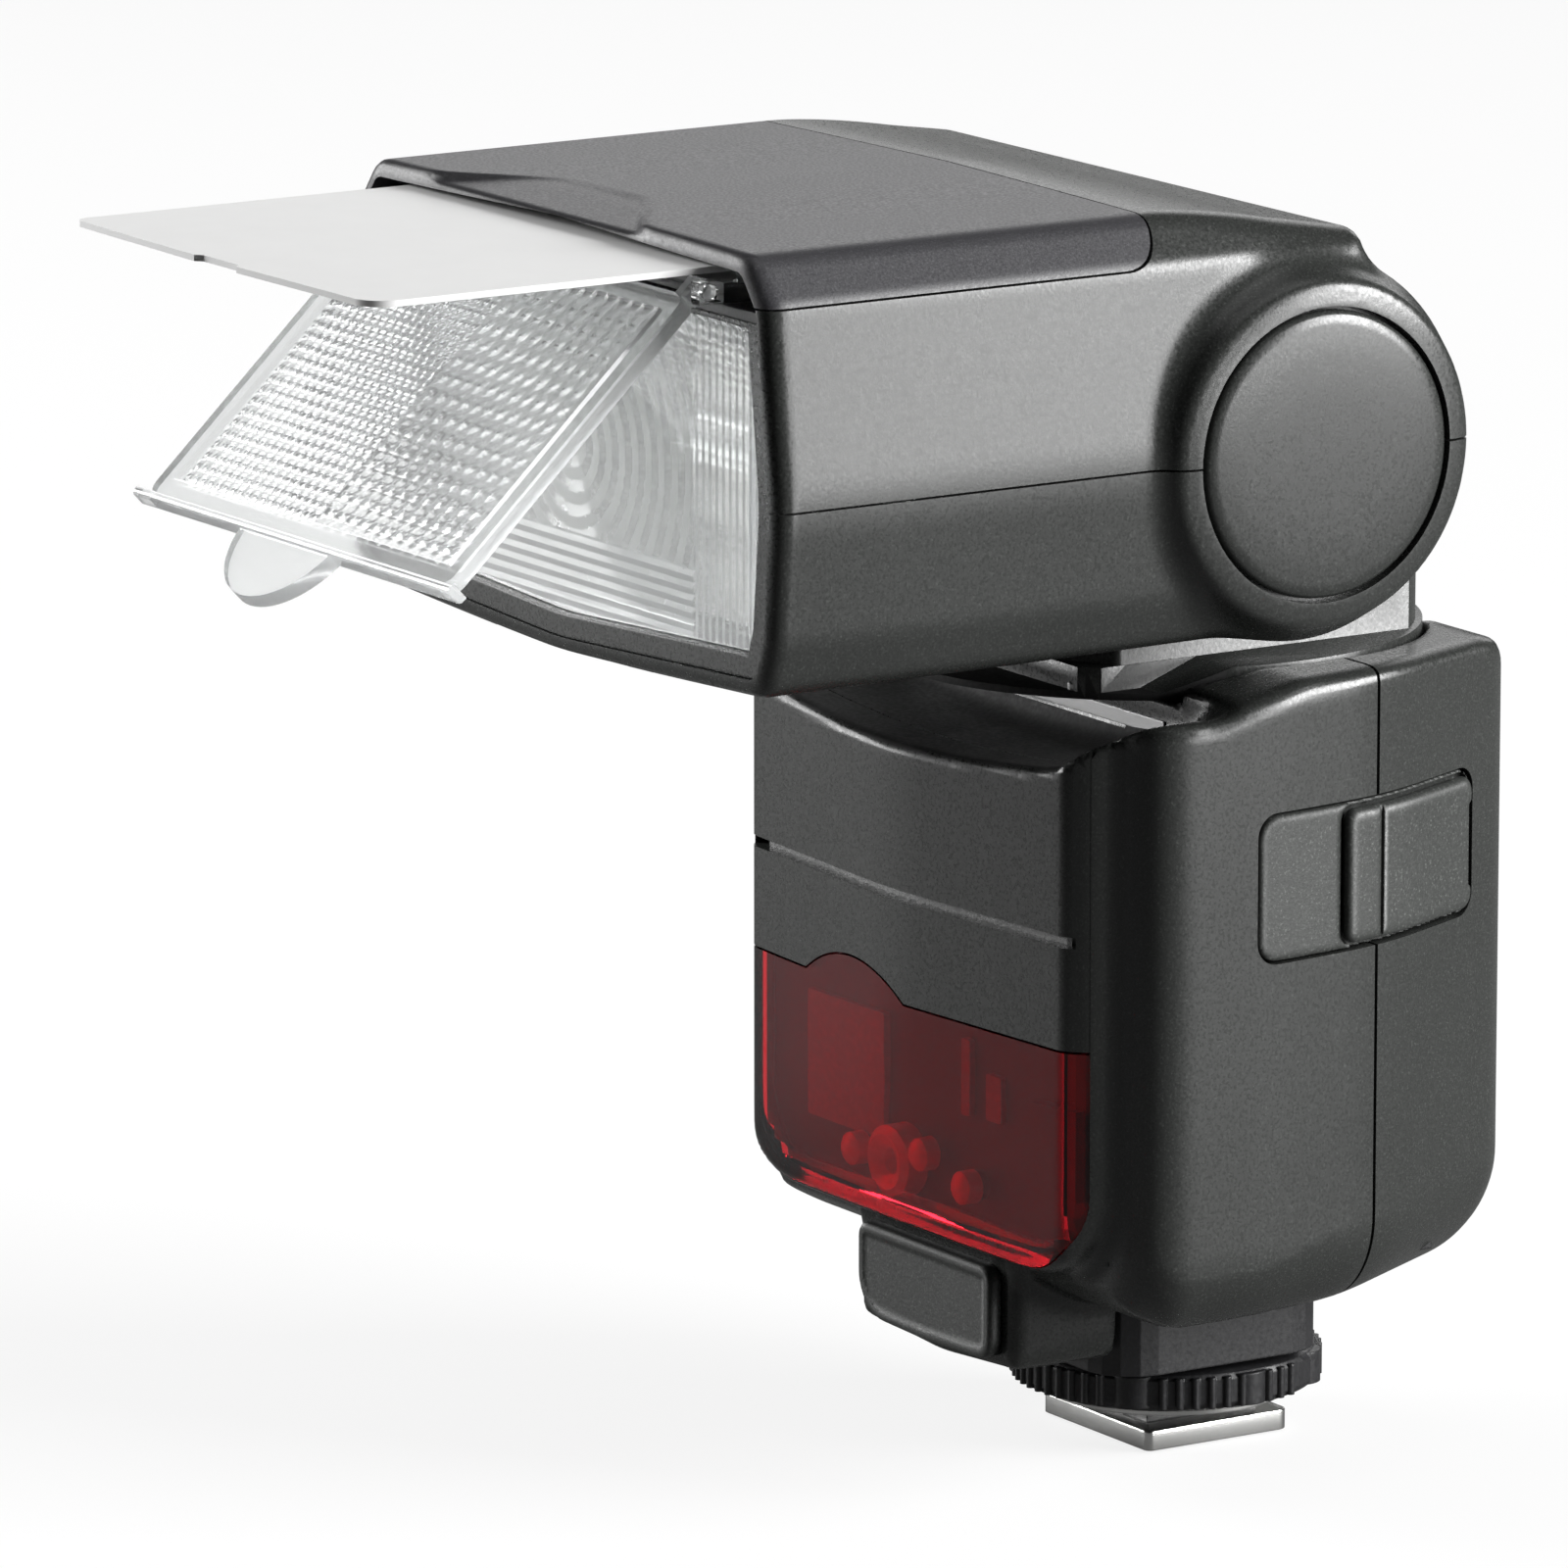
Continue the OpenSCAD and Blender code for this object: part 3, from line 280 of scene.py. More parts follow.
def corners(mesh):
    co = np.zeros(len(mesh.vertices) * 3)
    mesh.vertices.foreach_get("co", co)
    return co.reshape(-1, 3)


def smoothFrom(piece, shape):
    # the shading follows the shape's own slope, and cut faces stay flat
    mesh = piece.data
    mesh.shade_smooth()
    co = corners(mesh) / mm
    g = gradient(shape, co, 0.25)
    g /= np.maximum(np.linalg.norm(g, axis=1), 1e-9)[:, None]
    near = np.abs(shape(co[:, 0], co[:, 1], co[:, 2])) < 0.12
    loops = len(mesh.loops)
    corner = np.zeros(loops, int)
    mesh.loops.foreach_get("vertex_index", corner)
    flat = np.zeros(len(mesh.polygons) * 3)
    mesh.polygons.foreach_get("normal", flat)
    sizes = np.zeros(len(mesh.polygons), int)
    mesh.polygons.foreach_get("loop_total", sizes)
    face = np.repeat(flat.reshape(-1, 3), sizes, axis=0)
    use = near[corner] & ((g[corner] * face).sum(1) > 0.6)
    mesh.normals_split_custom_set(np.where(use[:, None], g[corner], face).tolist())
    return piece


def dress(piece, material, body, *replaced, slot=None, shape=None):
    if shape:
        smoothFrom(piece, shape)
    piece.data.materials.clear()
    piece.data.materials.append(material)
    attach(piece, body)
    if replaced:
        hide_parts(*replaced)
    return piece


def paintShadeWhere(piece, material, choose):
    # give a second material, the painted shade in every use here, to the faces that choose picks from their middles
    # and normals
    mesh = piece.data
    mesh.materials.append(material)
    middles = np.array([face.center for face in mesh.polygons]) / mm
    normals = np.array([face.normal for face in mesh.polygons])
    picked = choose(*middles.T, normals)
    slots = np.where(picked, len(mesh.materials) - 1, 0).astype(np.int32)
    mesh.polygons.foreach_set("material_index", slots)


# --- finishes ---

shellTone = (0.024, 0.0255, 0.024)


def nodeMaterial(name):
    material = bpy.data.materials.new(name)
    material.use_nodes = True
    tree = material.node_tree
    shader = next(n for n in tree.nodes if n.type == "BSDF_PRINCIPLED")
    return material, tree, shader


def link(tree, source, target):
    tree.links.new(source, target)


def fill(tree, node, values):
    # each input gets a socket to link or a constant
    for key, value in values.items():
        if isinstance(value, bpy.types.NodeSocket):
            link(tree, value, node.inputs[key])
        else:
            node.inputs[key].default_value = value
    return node


def addNode(tree, kind, values):
    return fill(tree, tree.nodes.new(kind), values)


def maths(tree, how, *values):
    step = addNode(tree, "ShaderNodeMath", dict(enumerate(values)))
    step.operation = how
    return step.outputs[0]


def mixed(tree, how, factor, first, second):
    mix = tree.nodes.new("ShaderNodeMix")
    mix.data_type = "RGBA"
    mix.blend_type = how
    return fill(tree, mix, {"Factor": factor, "A": first, "B": second}).outputs["Result"]


def showBoth(tree, share, first, second):
    # the surface is the first shader, and the second where share is 1
    blend = addNode(tree, "ShaderNodeMixShader", {"Fac": share, 1: first.outputs[0], 2: second.outputs[0]})
    fill(tree, tree.nodes["Material Output"], {"Surface": blend.outputs[0]})


def noise(tree, space, scale, detail=2.0, roughness=0.5):
    values = {"Vector": space, "Scale": scale, "Detail": detail, "Roughness": roughness}
    return addNode(tree, "ShaderNodeTexNoise", values).outputs["Fac"]


def objectSpace(tree):
    return tree.nodes.new("ShaderNodeTexCoord").outputs["Object"]


def grey(level):
    return (level, level, level, 1.0)


def ramp(tree, value, stops):
    node = tree.nodes.new("ShaderNodeValToRGB")
    link(tree, value, node.inputs["Fac"])
    bar = node.color_ramp
    while len(bar.elements) < len(stops):
        bar.elements.new(0.5)
    for element, (place, tone) in zip(bar.elements, stops):
        element.position = place
        element.color = (*tone, 1.0) if isinstance(tone, tuple) else grey(tone)
    return node.outputs["Color"]


def between(tree, value, low, high):
    return ramp(tree, value, [(0.3, low), (0.7, high)])


def scaled(tone, factor):
    return tuple(min(1.0, c * factor) for c in tone)


def bumpFrom(tree, shader, height, strength, distance, edge=0.0):
    bump = addNode(tree, "ShaderNodeBump", {"Strength": strength, "Distance": distance, "Height": height})
    if edge:
        bevel = addNode(tree, "ShaderNodeBevel", {"Radius": edge})
        bevel.samples = 4
        link(tree, bevel.outputs["Normal"], bump.inputs["Normal"])
    link(tree, bump.outputs["Normal"], shader.inputs["Normal"])


def speckled(name, tone, fleck=2.4, rough=0.29, grain=0.00022, edge=0.0, bump=0.25):
    # moulded plastic with a fine metallic fleck under a satin grain
    material, tree, shader = nodeMaterial(name)
    space = objectSpace(tree)
    flecks = ramp(tree, noise(tree, space, 1 / grain, 1.0, 0.6), [
        (0.0, scaled(tone, 0.72)), (0.52, tone), (0.64, scaled(tone, 1.35)), (0.74, scaled(tone, fleck))])
    clouds = between(tree, noise(tree, space, 45, 3.0), 0.93, 1.07)
    satin = noise(tree, space, 1 / (grain * 1.6))
    fill(tree, shader, {"Base Color": mixed(tree, "MULTIPLY", 1.0, flecks, clouds), "Specular IOR Level": 0.5,
                        "Roughness": between(tree, satin, rough - 0.07, rough + 0.09)})
    bumpFrom(tree, shader, noise(tree, space, 1 / (grain * 1.3), 2.0, 0.6), bump, 0.00004, edge)
    return material


def plainPlastic(name, tone, rough):
    # smooth moulding with hardly any variation
    material, tree, shader = nodeMaterial(name)
    space = objectSpace(tree)
    fill(tree, shader, {"Base Color": between(tree, noise(tree, space, 120, 3.0), scaled(tone, 0.985), tone),
                        "Roughness": between(tree, noise(tree, space, 300), rough - 0.03, rough + 0.03)})
    bumpFrom(tree, shader, noise(tree, space, 2500), 0.08, 0.00002)
    return material


def metal(name, tone, rough):
    # bright metal with fine lines along X
    material, tree, shader = nodeMaterial(name)
    stretch = addNode(tree, "ShaderNodeMapping", {"Scale": (1.0, 14.0, 14.0), "Vector": objectSpace(tree)})
    lines = noise(tree, stretch.outputs["Vector"], 700, 3.0, 0.6)
    fill(tree, shader, {"Base Color": between(tree, lines, scaled(tone, 0.86), tone), "Metallic": 1.0,
                        "Roughness": between(tree, lines, rough, rough + 0.08)})
    bumpFrom(tree, shader, lines, 0.15, 0.00002, 0.0002)
    return material


def clear(name, tone, rough, ior=1.49, haze=0.0):
    # see-through plastic that lets lamp light straight through, without caustics
    material, tree, shader = nodeMaterial(name)
    tint = between(tree, noise(tree, objectSpace(tree), 900), scaled(tone, 0.97), tone)
    fill(tree, shader, {"Base Color": tint, "Roughness": rough, "IOR": ior, "Transmission Weight": 1.0 - haze})
    path = tree.nodes.new("ShaderNodeLightPath")
    through = addNode(tree, "ShaderNodeBsdfTransparent", {"Color": (*scaled(tone, 0.9), 1)})
    showBoth(tree, path.outputs["Is Shadow Ray"], shader, through)
    return material


charcoal = speckled("charcoalShell", shellTone)
charcoalEdged = speckled("charcoalEdged", shellTone, edge=0.00035)
lidTone = speckled("lidPlastic", (0.034, 0.0335, 0.037), fleck=1.9, rough=0.4, grain=0.00018)
rubber = speckled("grainedRubber", (0.030, 0.032, 0.030), fleck=3.0, rough=0.45, grain=0.00028, edge=0.0003,
                  bump=0.5)
blackPlastic = speckled("blackPlastic", (0.012, 0.012, 0.013), fleck=1.6, rough=0.38, grain=0.0003,
                        edge=0.00025)
# painted shade: a near-black matt that stands for the deep shadow under the head, not a different material
paintedShadeBlack = speckled("paintedShadeBlack", (0.004, 0.004, 0.004), fleck=1.5, rough=0.7, grain=0.0003, bump=0.1)
glossBlack = speckled("glossBlack", (0.008, 0.008, 0.009), fleck=1.3, rough=0.12, grain=0.0006, bump=0.04)
brightPlate = metal("brightPlate", (0.83, 0.83, 0.81), 0.14)
steel = metal("machinedSteel", (0.55, 0.55, 0.55), 0.3)
goldPlate = metal("goldPlate", (0.85, 0.62, 0.25), 0.25)
whiteCard = plainPlastic("whiteCard", (0.74, 0.74, 0.735), 0.5)
liner = plainPlastic("whiteLiner", (0.88, 0.88, 0.87), 0.4)
smokedGlass = clear("smokedGlass", (0.30, 0.32, 0.31), 0.04)
redGlow = speckled("redInner", (0.95, 0.20, 0.16), fleck=1.2, rough=0.3, grain=0.0008, bump=0.05)
mirrorCoat = metal("mirrorCoat", (0.95, 0.95, 0.93), 0.22)
redDim = speckled("redDim", (0.26, 0.025, 0.025), fleck=1.2, rough=0.35, grain=0.0008, bump=0.05)
circuitBoard = speckled("circuitBoard", (0.010, 0.016, 0.012), fleck=1.5, rough=0.4, grain=0.0008)
sleeve = speckled("capacitorSleeve", (0.02, 0.022, 0.05), fleck=1.4, rough=0.25, grain=0.001)
cellSleeve = speckled("cellSleeve", (0.35, 0.36, 0.38), fleck=1.2, rough=0.3, grain=0.001)
clearPlastic = clear("clearPlastic", (0.97, 0.98, 0.98), 0.04)
lensPlastic = clear("lensPlastic", (0.97, 0.98, 0.98), 0.05, haze=0.26)
framePlastic = clear("framePlastic", (0.93, 0.94, 0.94), 0.08, haze=0.16)
redClear = clear("redClear", (0.52, 0.007, 0.016), 0.03, 1.45)
print("finishes made")

# --- stage: floor, lamps and camera ---

stageSizes = {
    "cameraPlace": (1.00946, -0.68987, 0.32516),
    "cameraBack": (0.82412, -0.52657, 0.20869),
    "lens": 292.7, "floorHalf": 4.0, "floorTone": 0.08, "glossTone": 0.16, "floorGlow": 0.82, "worldDim": 0.03,
}


def aim(name, energy, place, target, size):
    data = bpy.data.lights.new(name, "AREA")
    data.shape = "RECTANGLE"
    data.size, data.size_y = size
    data.energy = energy
    lamp = bpy.data.objects.new(name, data)
    lamp.location = place
    lamp.rotation_euler = (Vector(target) - Vector(place)).to_track_quat("-Z", "Y").to_euler()
    bpy.context.scene.collection.objects.link(lamp)


def directly(tree):
    # 1 where the camera sees the surface itself or through something clear
    path = tree.nodes.new("ShaderNodeLightPath").outputs
    return maths(tree, "MAXIMUM", path["Is Camera Ray"], path["Is Transmission Ray"]), path


def flatSheet(name, half):
    corners = np.array([(-half, -half, 0), (half, -half, 0), (half, half, 0), (-half, half, 0)])
    sheet = meshObject(name, corners / mm, [(0, 1, 2, 3)])
    sheet.location.z = -0.0002
    return sheet


def makeFloor(s):
    floor = flatSheet("floor", s["floorHalf"])
    material, tree, shader = nodeMaterial("paleFloor")
    seen, path = directly(tree)
    pale = between(tree, noise(tree, objectSpace(tree), 3), 0.86, 0.88)
    dim = mixed(tree, "MIX", path["Is Glossy Ray"], grey(s["floorTone"]), grey(s["glossTone"]))
    fill(tree, shader, {"Base Color": mixed(tree, "MIX", seen, dim, pale), "Roughness": 0.7,
                        "Specular IOR Level": 0.2})
    glow = addNode(tree, "ShaderNodeEmission", {"Color": grey(1.0)})
    showBoth(tree, maths(tree, "MULTIPLY", seen, s["floorGlow"]), shader, glow)
    floor.data.materials.append(material)


def makeWorld(s):
    world = bpy.data.worlds.new("studio")
    bpy.context.scene.world = world
    world.use_nodes = True
    tree = world.node_tree
    level = addNode(tree, "ShaderNodeMapRange", {"To Min": s["worldDim"], "To Max": 1.0, "Value": directly(tree)[0]})
    link(tree, level.outputs["Result"], tree.nodes["Background"].inputs["Strength"])


def setStage(s):
    scene = bpy.context.scene
    scene.view_settings.view_transform = "Standard"
    makeFloor(s)
    makeWorld(s)
    data = bpy.data.cameras.new("camera")
    data.lens = s["lens"]
    data.sensor_width = 36
    data.clip_start = 0.05
    camera = bpy.data.objects.new("camera", data)
    back = Vector(s["cameraBack"]).normalized()
    right = Vector((0, 0, 1)).cross(back).normalized()
    turn = Matrix((right, back.cross(right), back)).transposed()
    camera.matrix_world = Matrix.Translation(s["cameraPlace"]) @ turn.to_4x4()
    scene.collection.objects.link(camera)
    scene.camera = camera


setStage(stageSizes)
aim("rightLight", 33.0, (0.86, 0.80, 0.52), (0, -0.01, 0.08), (0.6, 0.6))
aim("rightLowLight", 3.4, (0.95, 0.5, 0.09), (0, -0.01, 0.06), (0.6, 0.18))
aim("leftLight", 17.0, (-0.95, -0.65, 0.42), (0, -0.02, 0.07), (0.6, 0.8))
aim("backLight", 2.3, (-0.85, 0.62, 0.5), (0, -0.02, 0.1), (1.0, 0.5))
aim("topLight", 1.5, (0.1, 0.0, 1.2), (0, -0.02, 0.1), (0.9, 0.6))
print("stage set")

# --- head ---

headSizes = {
    "front": -70.5, "under": 86.1, "split": 104.7, "top": 128.7, "halfWidth": 39.4, "topHalfWidth": 33.6,
    "tiltY": -10.5, "tiltZ": 104.7, "barrel": 18.6, "capX": 41.3, "capRadius": 13.9, "slotHalf": 20.2,
    "slotRadius": 17.6, "slotRear": -2.5, "slotFront": -26.5, "lidZ": 123.5, "lidRear": -26.5,
    "lidCorner": 4.0, "wall": 1.8, "seam": 0.22, "recessX": -4, "recessReach": 8.2, "recessDepth": 1.35,
    "axleRadius": 6.05, "cardTravel": 37.2, "capFace": 41.8,
}
hs = headSizes
headFace = mirrored([(0, hs["under"] - 1.2, 60), (hs["halfWidth"] - 3.2, hs["under"] + 0.6, 3.4),
                     (hs["halfWidth"] - 1.2, hs["under"] + 6, 8), (hs["halfWidth"], hs["split"], 30),
                     (hs["halfWidth"] - 2.3, hs["top"] - 5, 3.4), (hs["topHalfWidth"], hs["top"] - 0.5, 3.4),
                     (0, hs["top"] + 0.3, 60)])
headSide = [(hs["front"], hs["under"] - 1.2, 0), (hs["tiltY"], hs["under"] + 0.15, 0),
            (hs["slotRear"], hs["tiltZ"], 0),
            (hs["slotRear"], hs["tiltZ"] + hs["barrel"] - 2.4, 0), (hs["slotRear"] - 0.6, hs["top"] - 3.8, 1.2),
            (hs["tiltY"] - 1, hs["top"] - 2.4, 5), (hs["tiltY"] - 14, hs["top"] + 0.3, 20),
            (hs["front"], hs["top"] + 0.3, 0)]
headFaceLine = roundCorners(headFace, 12)
headSideLine = roundCorners(headSide, 12)
barrelLine = roundCorners([(-30, -1, 0), (hs["barrel"], -1, 0), (hs["barrel"], hs["capX"] - 4.6, 1.2),
                           (hs["capRadius"] + 2.6, hs["capX"] - 0.4, 1.4), (hs["capRadius"] + 0.5, hs["capX"], 0.8),
                           (-30, hs["capX"], 0)], 8)


def headShape(x, y, z):
    box = blendMax(outlineDistance(x, z, headFaceLine), outlineDistance(y, z, headSideLine), 2.0)
    r = np.hypot((y - hs["tiltY"]), (z - hs["tiltZ"]))
    barrel = outlineDistance(r, np.abs(x), barrelLine)
    whole = blendMin(box, barrel, 1.6)
    # the finger recess in the lid's front edge
    share = np.clip(1.35 - np.abs(x - hs["recessX"]) / 16, 0, 1)
    crest = hs["front"] + hs["recessReach"] * share ** 2 * (3 - 2 * share)
    recess = blendMax(y - crest, hs["top"] - hs["recessDepth"] + 0.12 * (y - hs["front"]) - z, 1.2)
    return blendMax(whole, -recess, 0.5)


def headCutters():
    half = hs["slotHalf"]
    axis = (hs["tiltY"], hs["tiltZ"])
    inner = roundCorners(insetCorners(headFace, hs["wall"]), 10)
    inner[:, 0] = np.clip(inner[:, 0], -36.8, 36.8)
    # the slot that the card slides back into
    low, high = nodeBox("bounce_card")
    return [prism("lampRoom", inner, 1, hs["front"] - 5, hs["slotFront"] - 2.0),
            rod("drumRoom", 0, -half, half, hs["slotRadius"], axis, 96),
            block("backRoom", (-half, hs["slotRear"], 60), (half, far, 160)),
            block("underRoom", (-half, hs["slotFront"], 60), (half, far, hs["tiltZ"])),
            rod("capRoomA", 0, hs["capX"] - 1.6, far, hs["capRadius"] + 0.3, axis, 96),
            rod("capRoomB", 0, -far, -hs["capX"] + 1.6, hs["capRadius"] + 0.3, axis, 96),
            rod("shaftRoom", 0, -half - 8, half + 8, hs["axleRadius"], axis, 48),
            block("cardRoom", (low[0] - 0.3, -80, low[2] - 0.2),
                  (high[0] + 0.3, high[1] + hs["cardTravel"], high[2] + 0.2))]


def lidOutline(gap):
    rear, low = hs["lidRear"] + gap, hs["lidZ"] - gap
    return roundCorners([(-100, low, 0), (rear, low, hs["lidCorner"]), (rear, 160, 0), (-100, 160, 0)], 10)


def makeHead():
    whole = grown("head", headShape, (-42, -71, 84), (42, 8.6, 130), 0.75)
    carve(whole, headCutters())
    gap = hs["seam"] / 2
    lid = carve(twin(whole, "headLid"), [prism("lidZone", lidOutline(0), 0, -far, far)], "INTERSECT")
    upper = carve(twin(whole, "headUpper"), [prism("lidZoneOut", lidOutline(hs["seam"]), 0, -far, far),
                                             block("lowerZone", (-far, -90, 60), (far, 40, hs["split"] + gap))])
    lower = carve(whole, [block("upperZone", (-far, -90, hs["split"] - gap), (far, 40, 160))])
    lower.name = "headLower"
    for piece, material, node in ((lid, lidTone, "head_lid"), (upper, charcoal, "head_upper_shell"),
                                  (lower, charcoal, "head_lower_shell")):
        dress(piece, material, "head", node, slot="charcoal_shell", shape=headShape)


makeHead()
print("head made")

# --- body ---

bodySizes = {
    "halfWidth": 36.0, "underRound": 10.0, "rearRound": 2.0, "front": -33.0, "rear": 25.6, "under": 17.8,
    "top": 82.0, "shoulder": 78.4, "noseHalf": 27.4, "windowLow": 24.4, "windowTop": 46.6, "splitY": 1.2,
    "wall": 2.0, "coverRoom": (-14.1, 54.5, 17.1, 69.3), "screenRoom": (-17.1, 28.5, 17.1, 75.1),
    "screenDeep": ((-15.8, 10, 29.8), (15.8, 30, 73.8)), "plugRoom": ((-4, -30, 12.8), (4, -15.5, 20.8)),
    "shaftRadius": 10.4, "doorGap": 0.15,
    "discRadius": 27.4, "discFloor": 78.3, "swivelY": -3.0, "panelHalf": 29.3, "seam": 0.22, "splitGap": 0.42,
    "archX": -7.0, "archRise": 3.0, "archRadius": 16.2, "grooveZ": 57.4, "grooveHalf": 0.55, "grooveDepth": 1.5,
    "noseRound": 9.5, "scoopBack": -15.6,
}
bs = bodySizes
bodyPlan = mirrored([(0, bs["front"], 60), (bs["noseHalf"], bs["front"] + 2, 2.2),
                     (bs["halfWidth"], bs["front"] + 9.6, 6),
                     (bs["halfWidth"], -12.5, 40), (bs["halfWidth"] - 2.4, 2.5, 40),
                     (bs["halfWidth"] - 12.5, bs["rear"] - 0.8, 9), (0, bs["rear"], 60)])
bodySide = [(bs["front"] - 1, bs["windowTop"], 0), (bs["front"] + 1.4, bs["windowLow"] - 0.6, 3),
            (bs["front"] + 7, bs["windowLow"] - 2.8, 4), (bs["front"] + 13, bs["under"], 5),
            (bs["rear"] + 1, bs["under"], 9), (bs["rear"] + 1, bs["top"] - 1, 8), (2, bs["top"], 0),
            (-8, bs["top"], 6), (-19, bs["shoulder"] + 0.6, 8), (bs["front"] - 1, bs["shoulder"] + 0.6, 1.5)]
faceHalf, faceTop = bs["halfWidth"] + 0.5, bs["top"] + 0.5
bodyFace = [(-faceHalf, bs["under"], 9), (faceHalf, bs["under"], 9), (faceHalf, faceTop, 3.6),
            (-faceHalf, faceTop, 3.6)]
noseFace = [(-30.2, bs["windowLow"] - 0.9, bs["noseRound"]), (30.2, bs["windowLow"] - 0.9, bs["noseRound"]),
            (30.4, 100, 0), (-30.4, 100, 0)]
bodyPlanLine = roundCorners(bodyPlan, 12)
bodySideLine = roundCorners(bodySide, 12)
bodyFaceLine = roundCorners(bodyFace, 12)
noseFaceLine = roundCorners(noseFace, 12)
housingPlanLine = roundCorners([(-13.7, -27.3, 1.5), (13.7, -27.3, 1.5), (15.7, -17, 2), (15.7, -14, 0),
                                (-15.7, -14, 0), (-15.7, -17, 2)], 8)
housingFaceLine = roundCorners([(-16.3, 11.8, 4), (0, 10.8, 30), (16.3, 11.8, 4), (16.3, 30, 0),
                                (-16.3, 30, 0)], 8)


def bodyForm(x, y, z):
    plan = outlineDistance(x, y, bodyPlanLine)
    long = blendMax(plan, outlineDistance(y, z, bodySideLine), 1.6)
    form = blendMax(long, outlineDistance(x, z, bodyFaceLine), 2.4)
    # one round edge right along the underside, larger at the rear
    turn = bs["underRound"] + bs["rearRound"] * np.clip(y / 20, 0, 1)
    low = bs["under"] - 0.2 - z
    edge = np.minimum(np.maximum(plan, low), -turn)
    edge = edge + np.hypot(np.maximum(plan + turn, 0), np.maximum(low + turn, 0))
    form = np.maximum(form, edge)
    nose = blendMin(outlineDistance(x, z, noseFaceLine), -26.5 - y, 2.0)
    return blendMax(form, nose, 1.6)


def scoopEdge(x):
    return np.interp(np.abs(x), [0, 8, 16, 23, 26.5, 28.5, 30.5, 33, 36.5, 60],
                     [72.3, 72.5, 73.0, 73.7, 74.3, 75.9, 77.5, 78.7, 79.8, 80.2])


def socketHousing(x, y, z):
    plan = blendMax(outlineDistance(x, y, housingPlanLine), outlineDistance(x, z, housingFaceLine), 1.5)
    return np.maximum(np.maximum(plan, z - 23.6), y + 16.5)


def bodySkin(x, y, z):
    form = blendMin(bodyForm(x, y, z), socketHousing(x, y, z), 2.2)
    scoop = blendMax(scoopEdge(x) - z, y - bs["scoopBack"], 3.0)
    disc = blendMax(np.hypot(x, y - bs["swivelY"]) - bs["discRadius"], bs["discFloor"] - z, 0.3)
    return blendMax(form, -blendMin(scoop, disc, 0.4), 0.9)


def panelOutline(inset):
    half, low, turn = bs["panelHalf"] - inset, bs["windowLow"] + inset, bs["noseRound"] - 1.2
    return roundCorners([(-half, low, turn), (half, low, turn), (half, 100, 0), (-half, 100, 0)], 12)


def windowTopLine(lift):
    # straight joint with an arch, drawn as a closed region above it
    level = bs["windowTop"] + lift
    radius = bs["archRadius"] + lift
    middle, centre = bs["archX"], level - lift + bs["archRise"] - bs["archRadius"]
    half = math.sqrt(radius ** 2 - (level - centre) ** 2)
    steps = half * np.linspace(-1, 1, 25)
    arch = [(middle + x, centre + math.sqrt(radius ** 2 - x * x)) for x in steps]
    return np.array([(middle - half - 0.6, level)] + arch +
                    [(middle + half + 0.6, level), (far, level), (far, 140), (-far, 140), (-far, level)])


def shadedUnderHead(x, y, z, normals):
    # the scoop's own faces, which lie inside the body's plain form; they get painted shade, a near-black that stands
    # for the deep shadow under the head
    near = (y < 0) & (np.abs(x) < 28) & (np.maximum(normals[:, 2], normals[:, 1]) > 0.25)
    inside = (bodyForm(x, y, z) < -0.3) | ((y > -31) & (y < -12) & (np.abs(x) < 26.5) & (normals[:, 2] > 0.5))
    return near & inside & (bodySkin(x, y, z) > -0.6)


def grooveFloor(x, y, z):
    # the panel below its groove, closed on all sides
    ends = np.maximum(np.abs(z - bs["grooveZ"]) - 2.6, np.abs(x) - 31)
    return np.maximum(np.maximum(bodyForm(x, y, z) + bs["grooveDepth"], ends), y + 19)


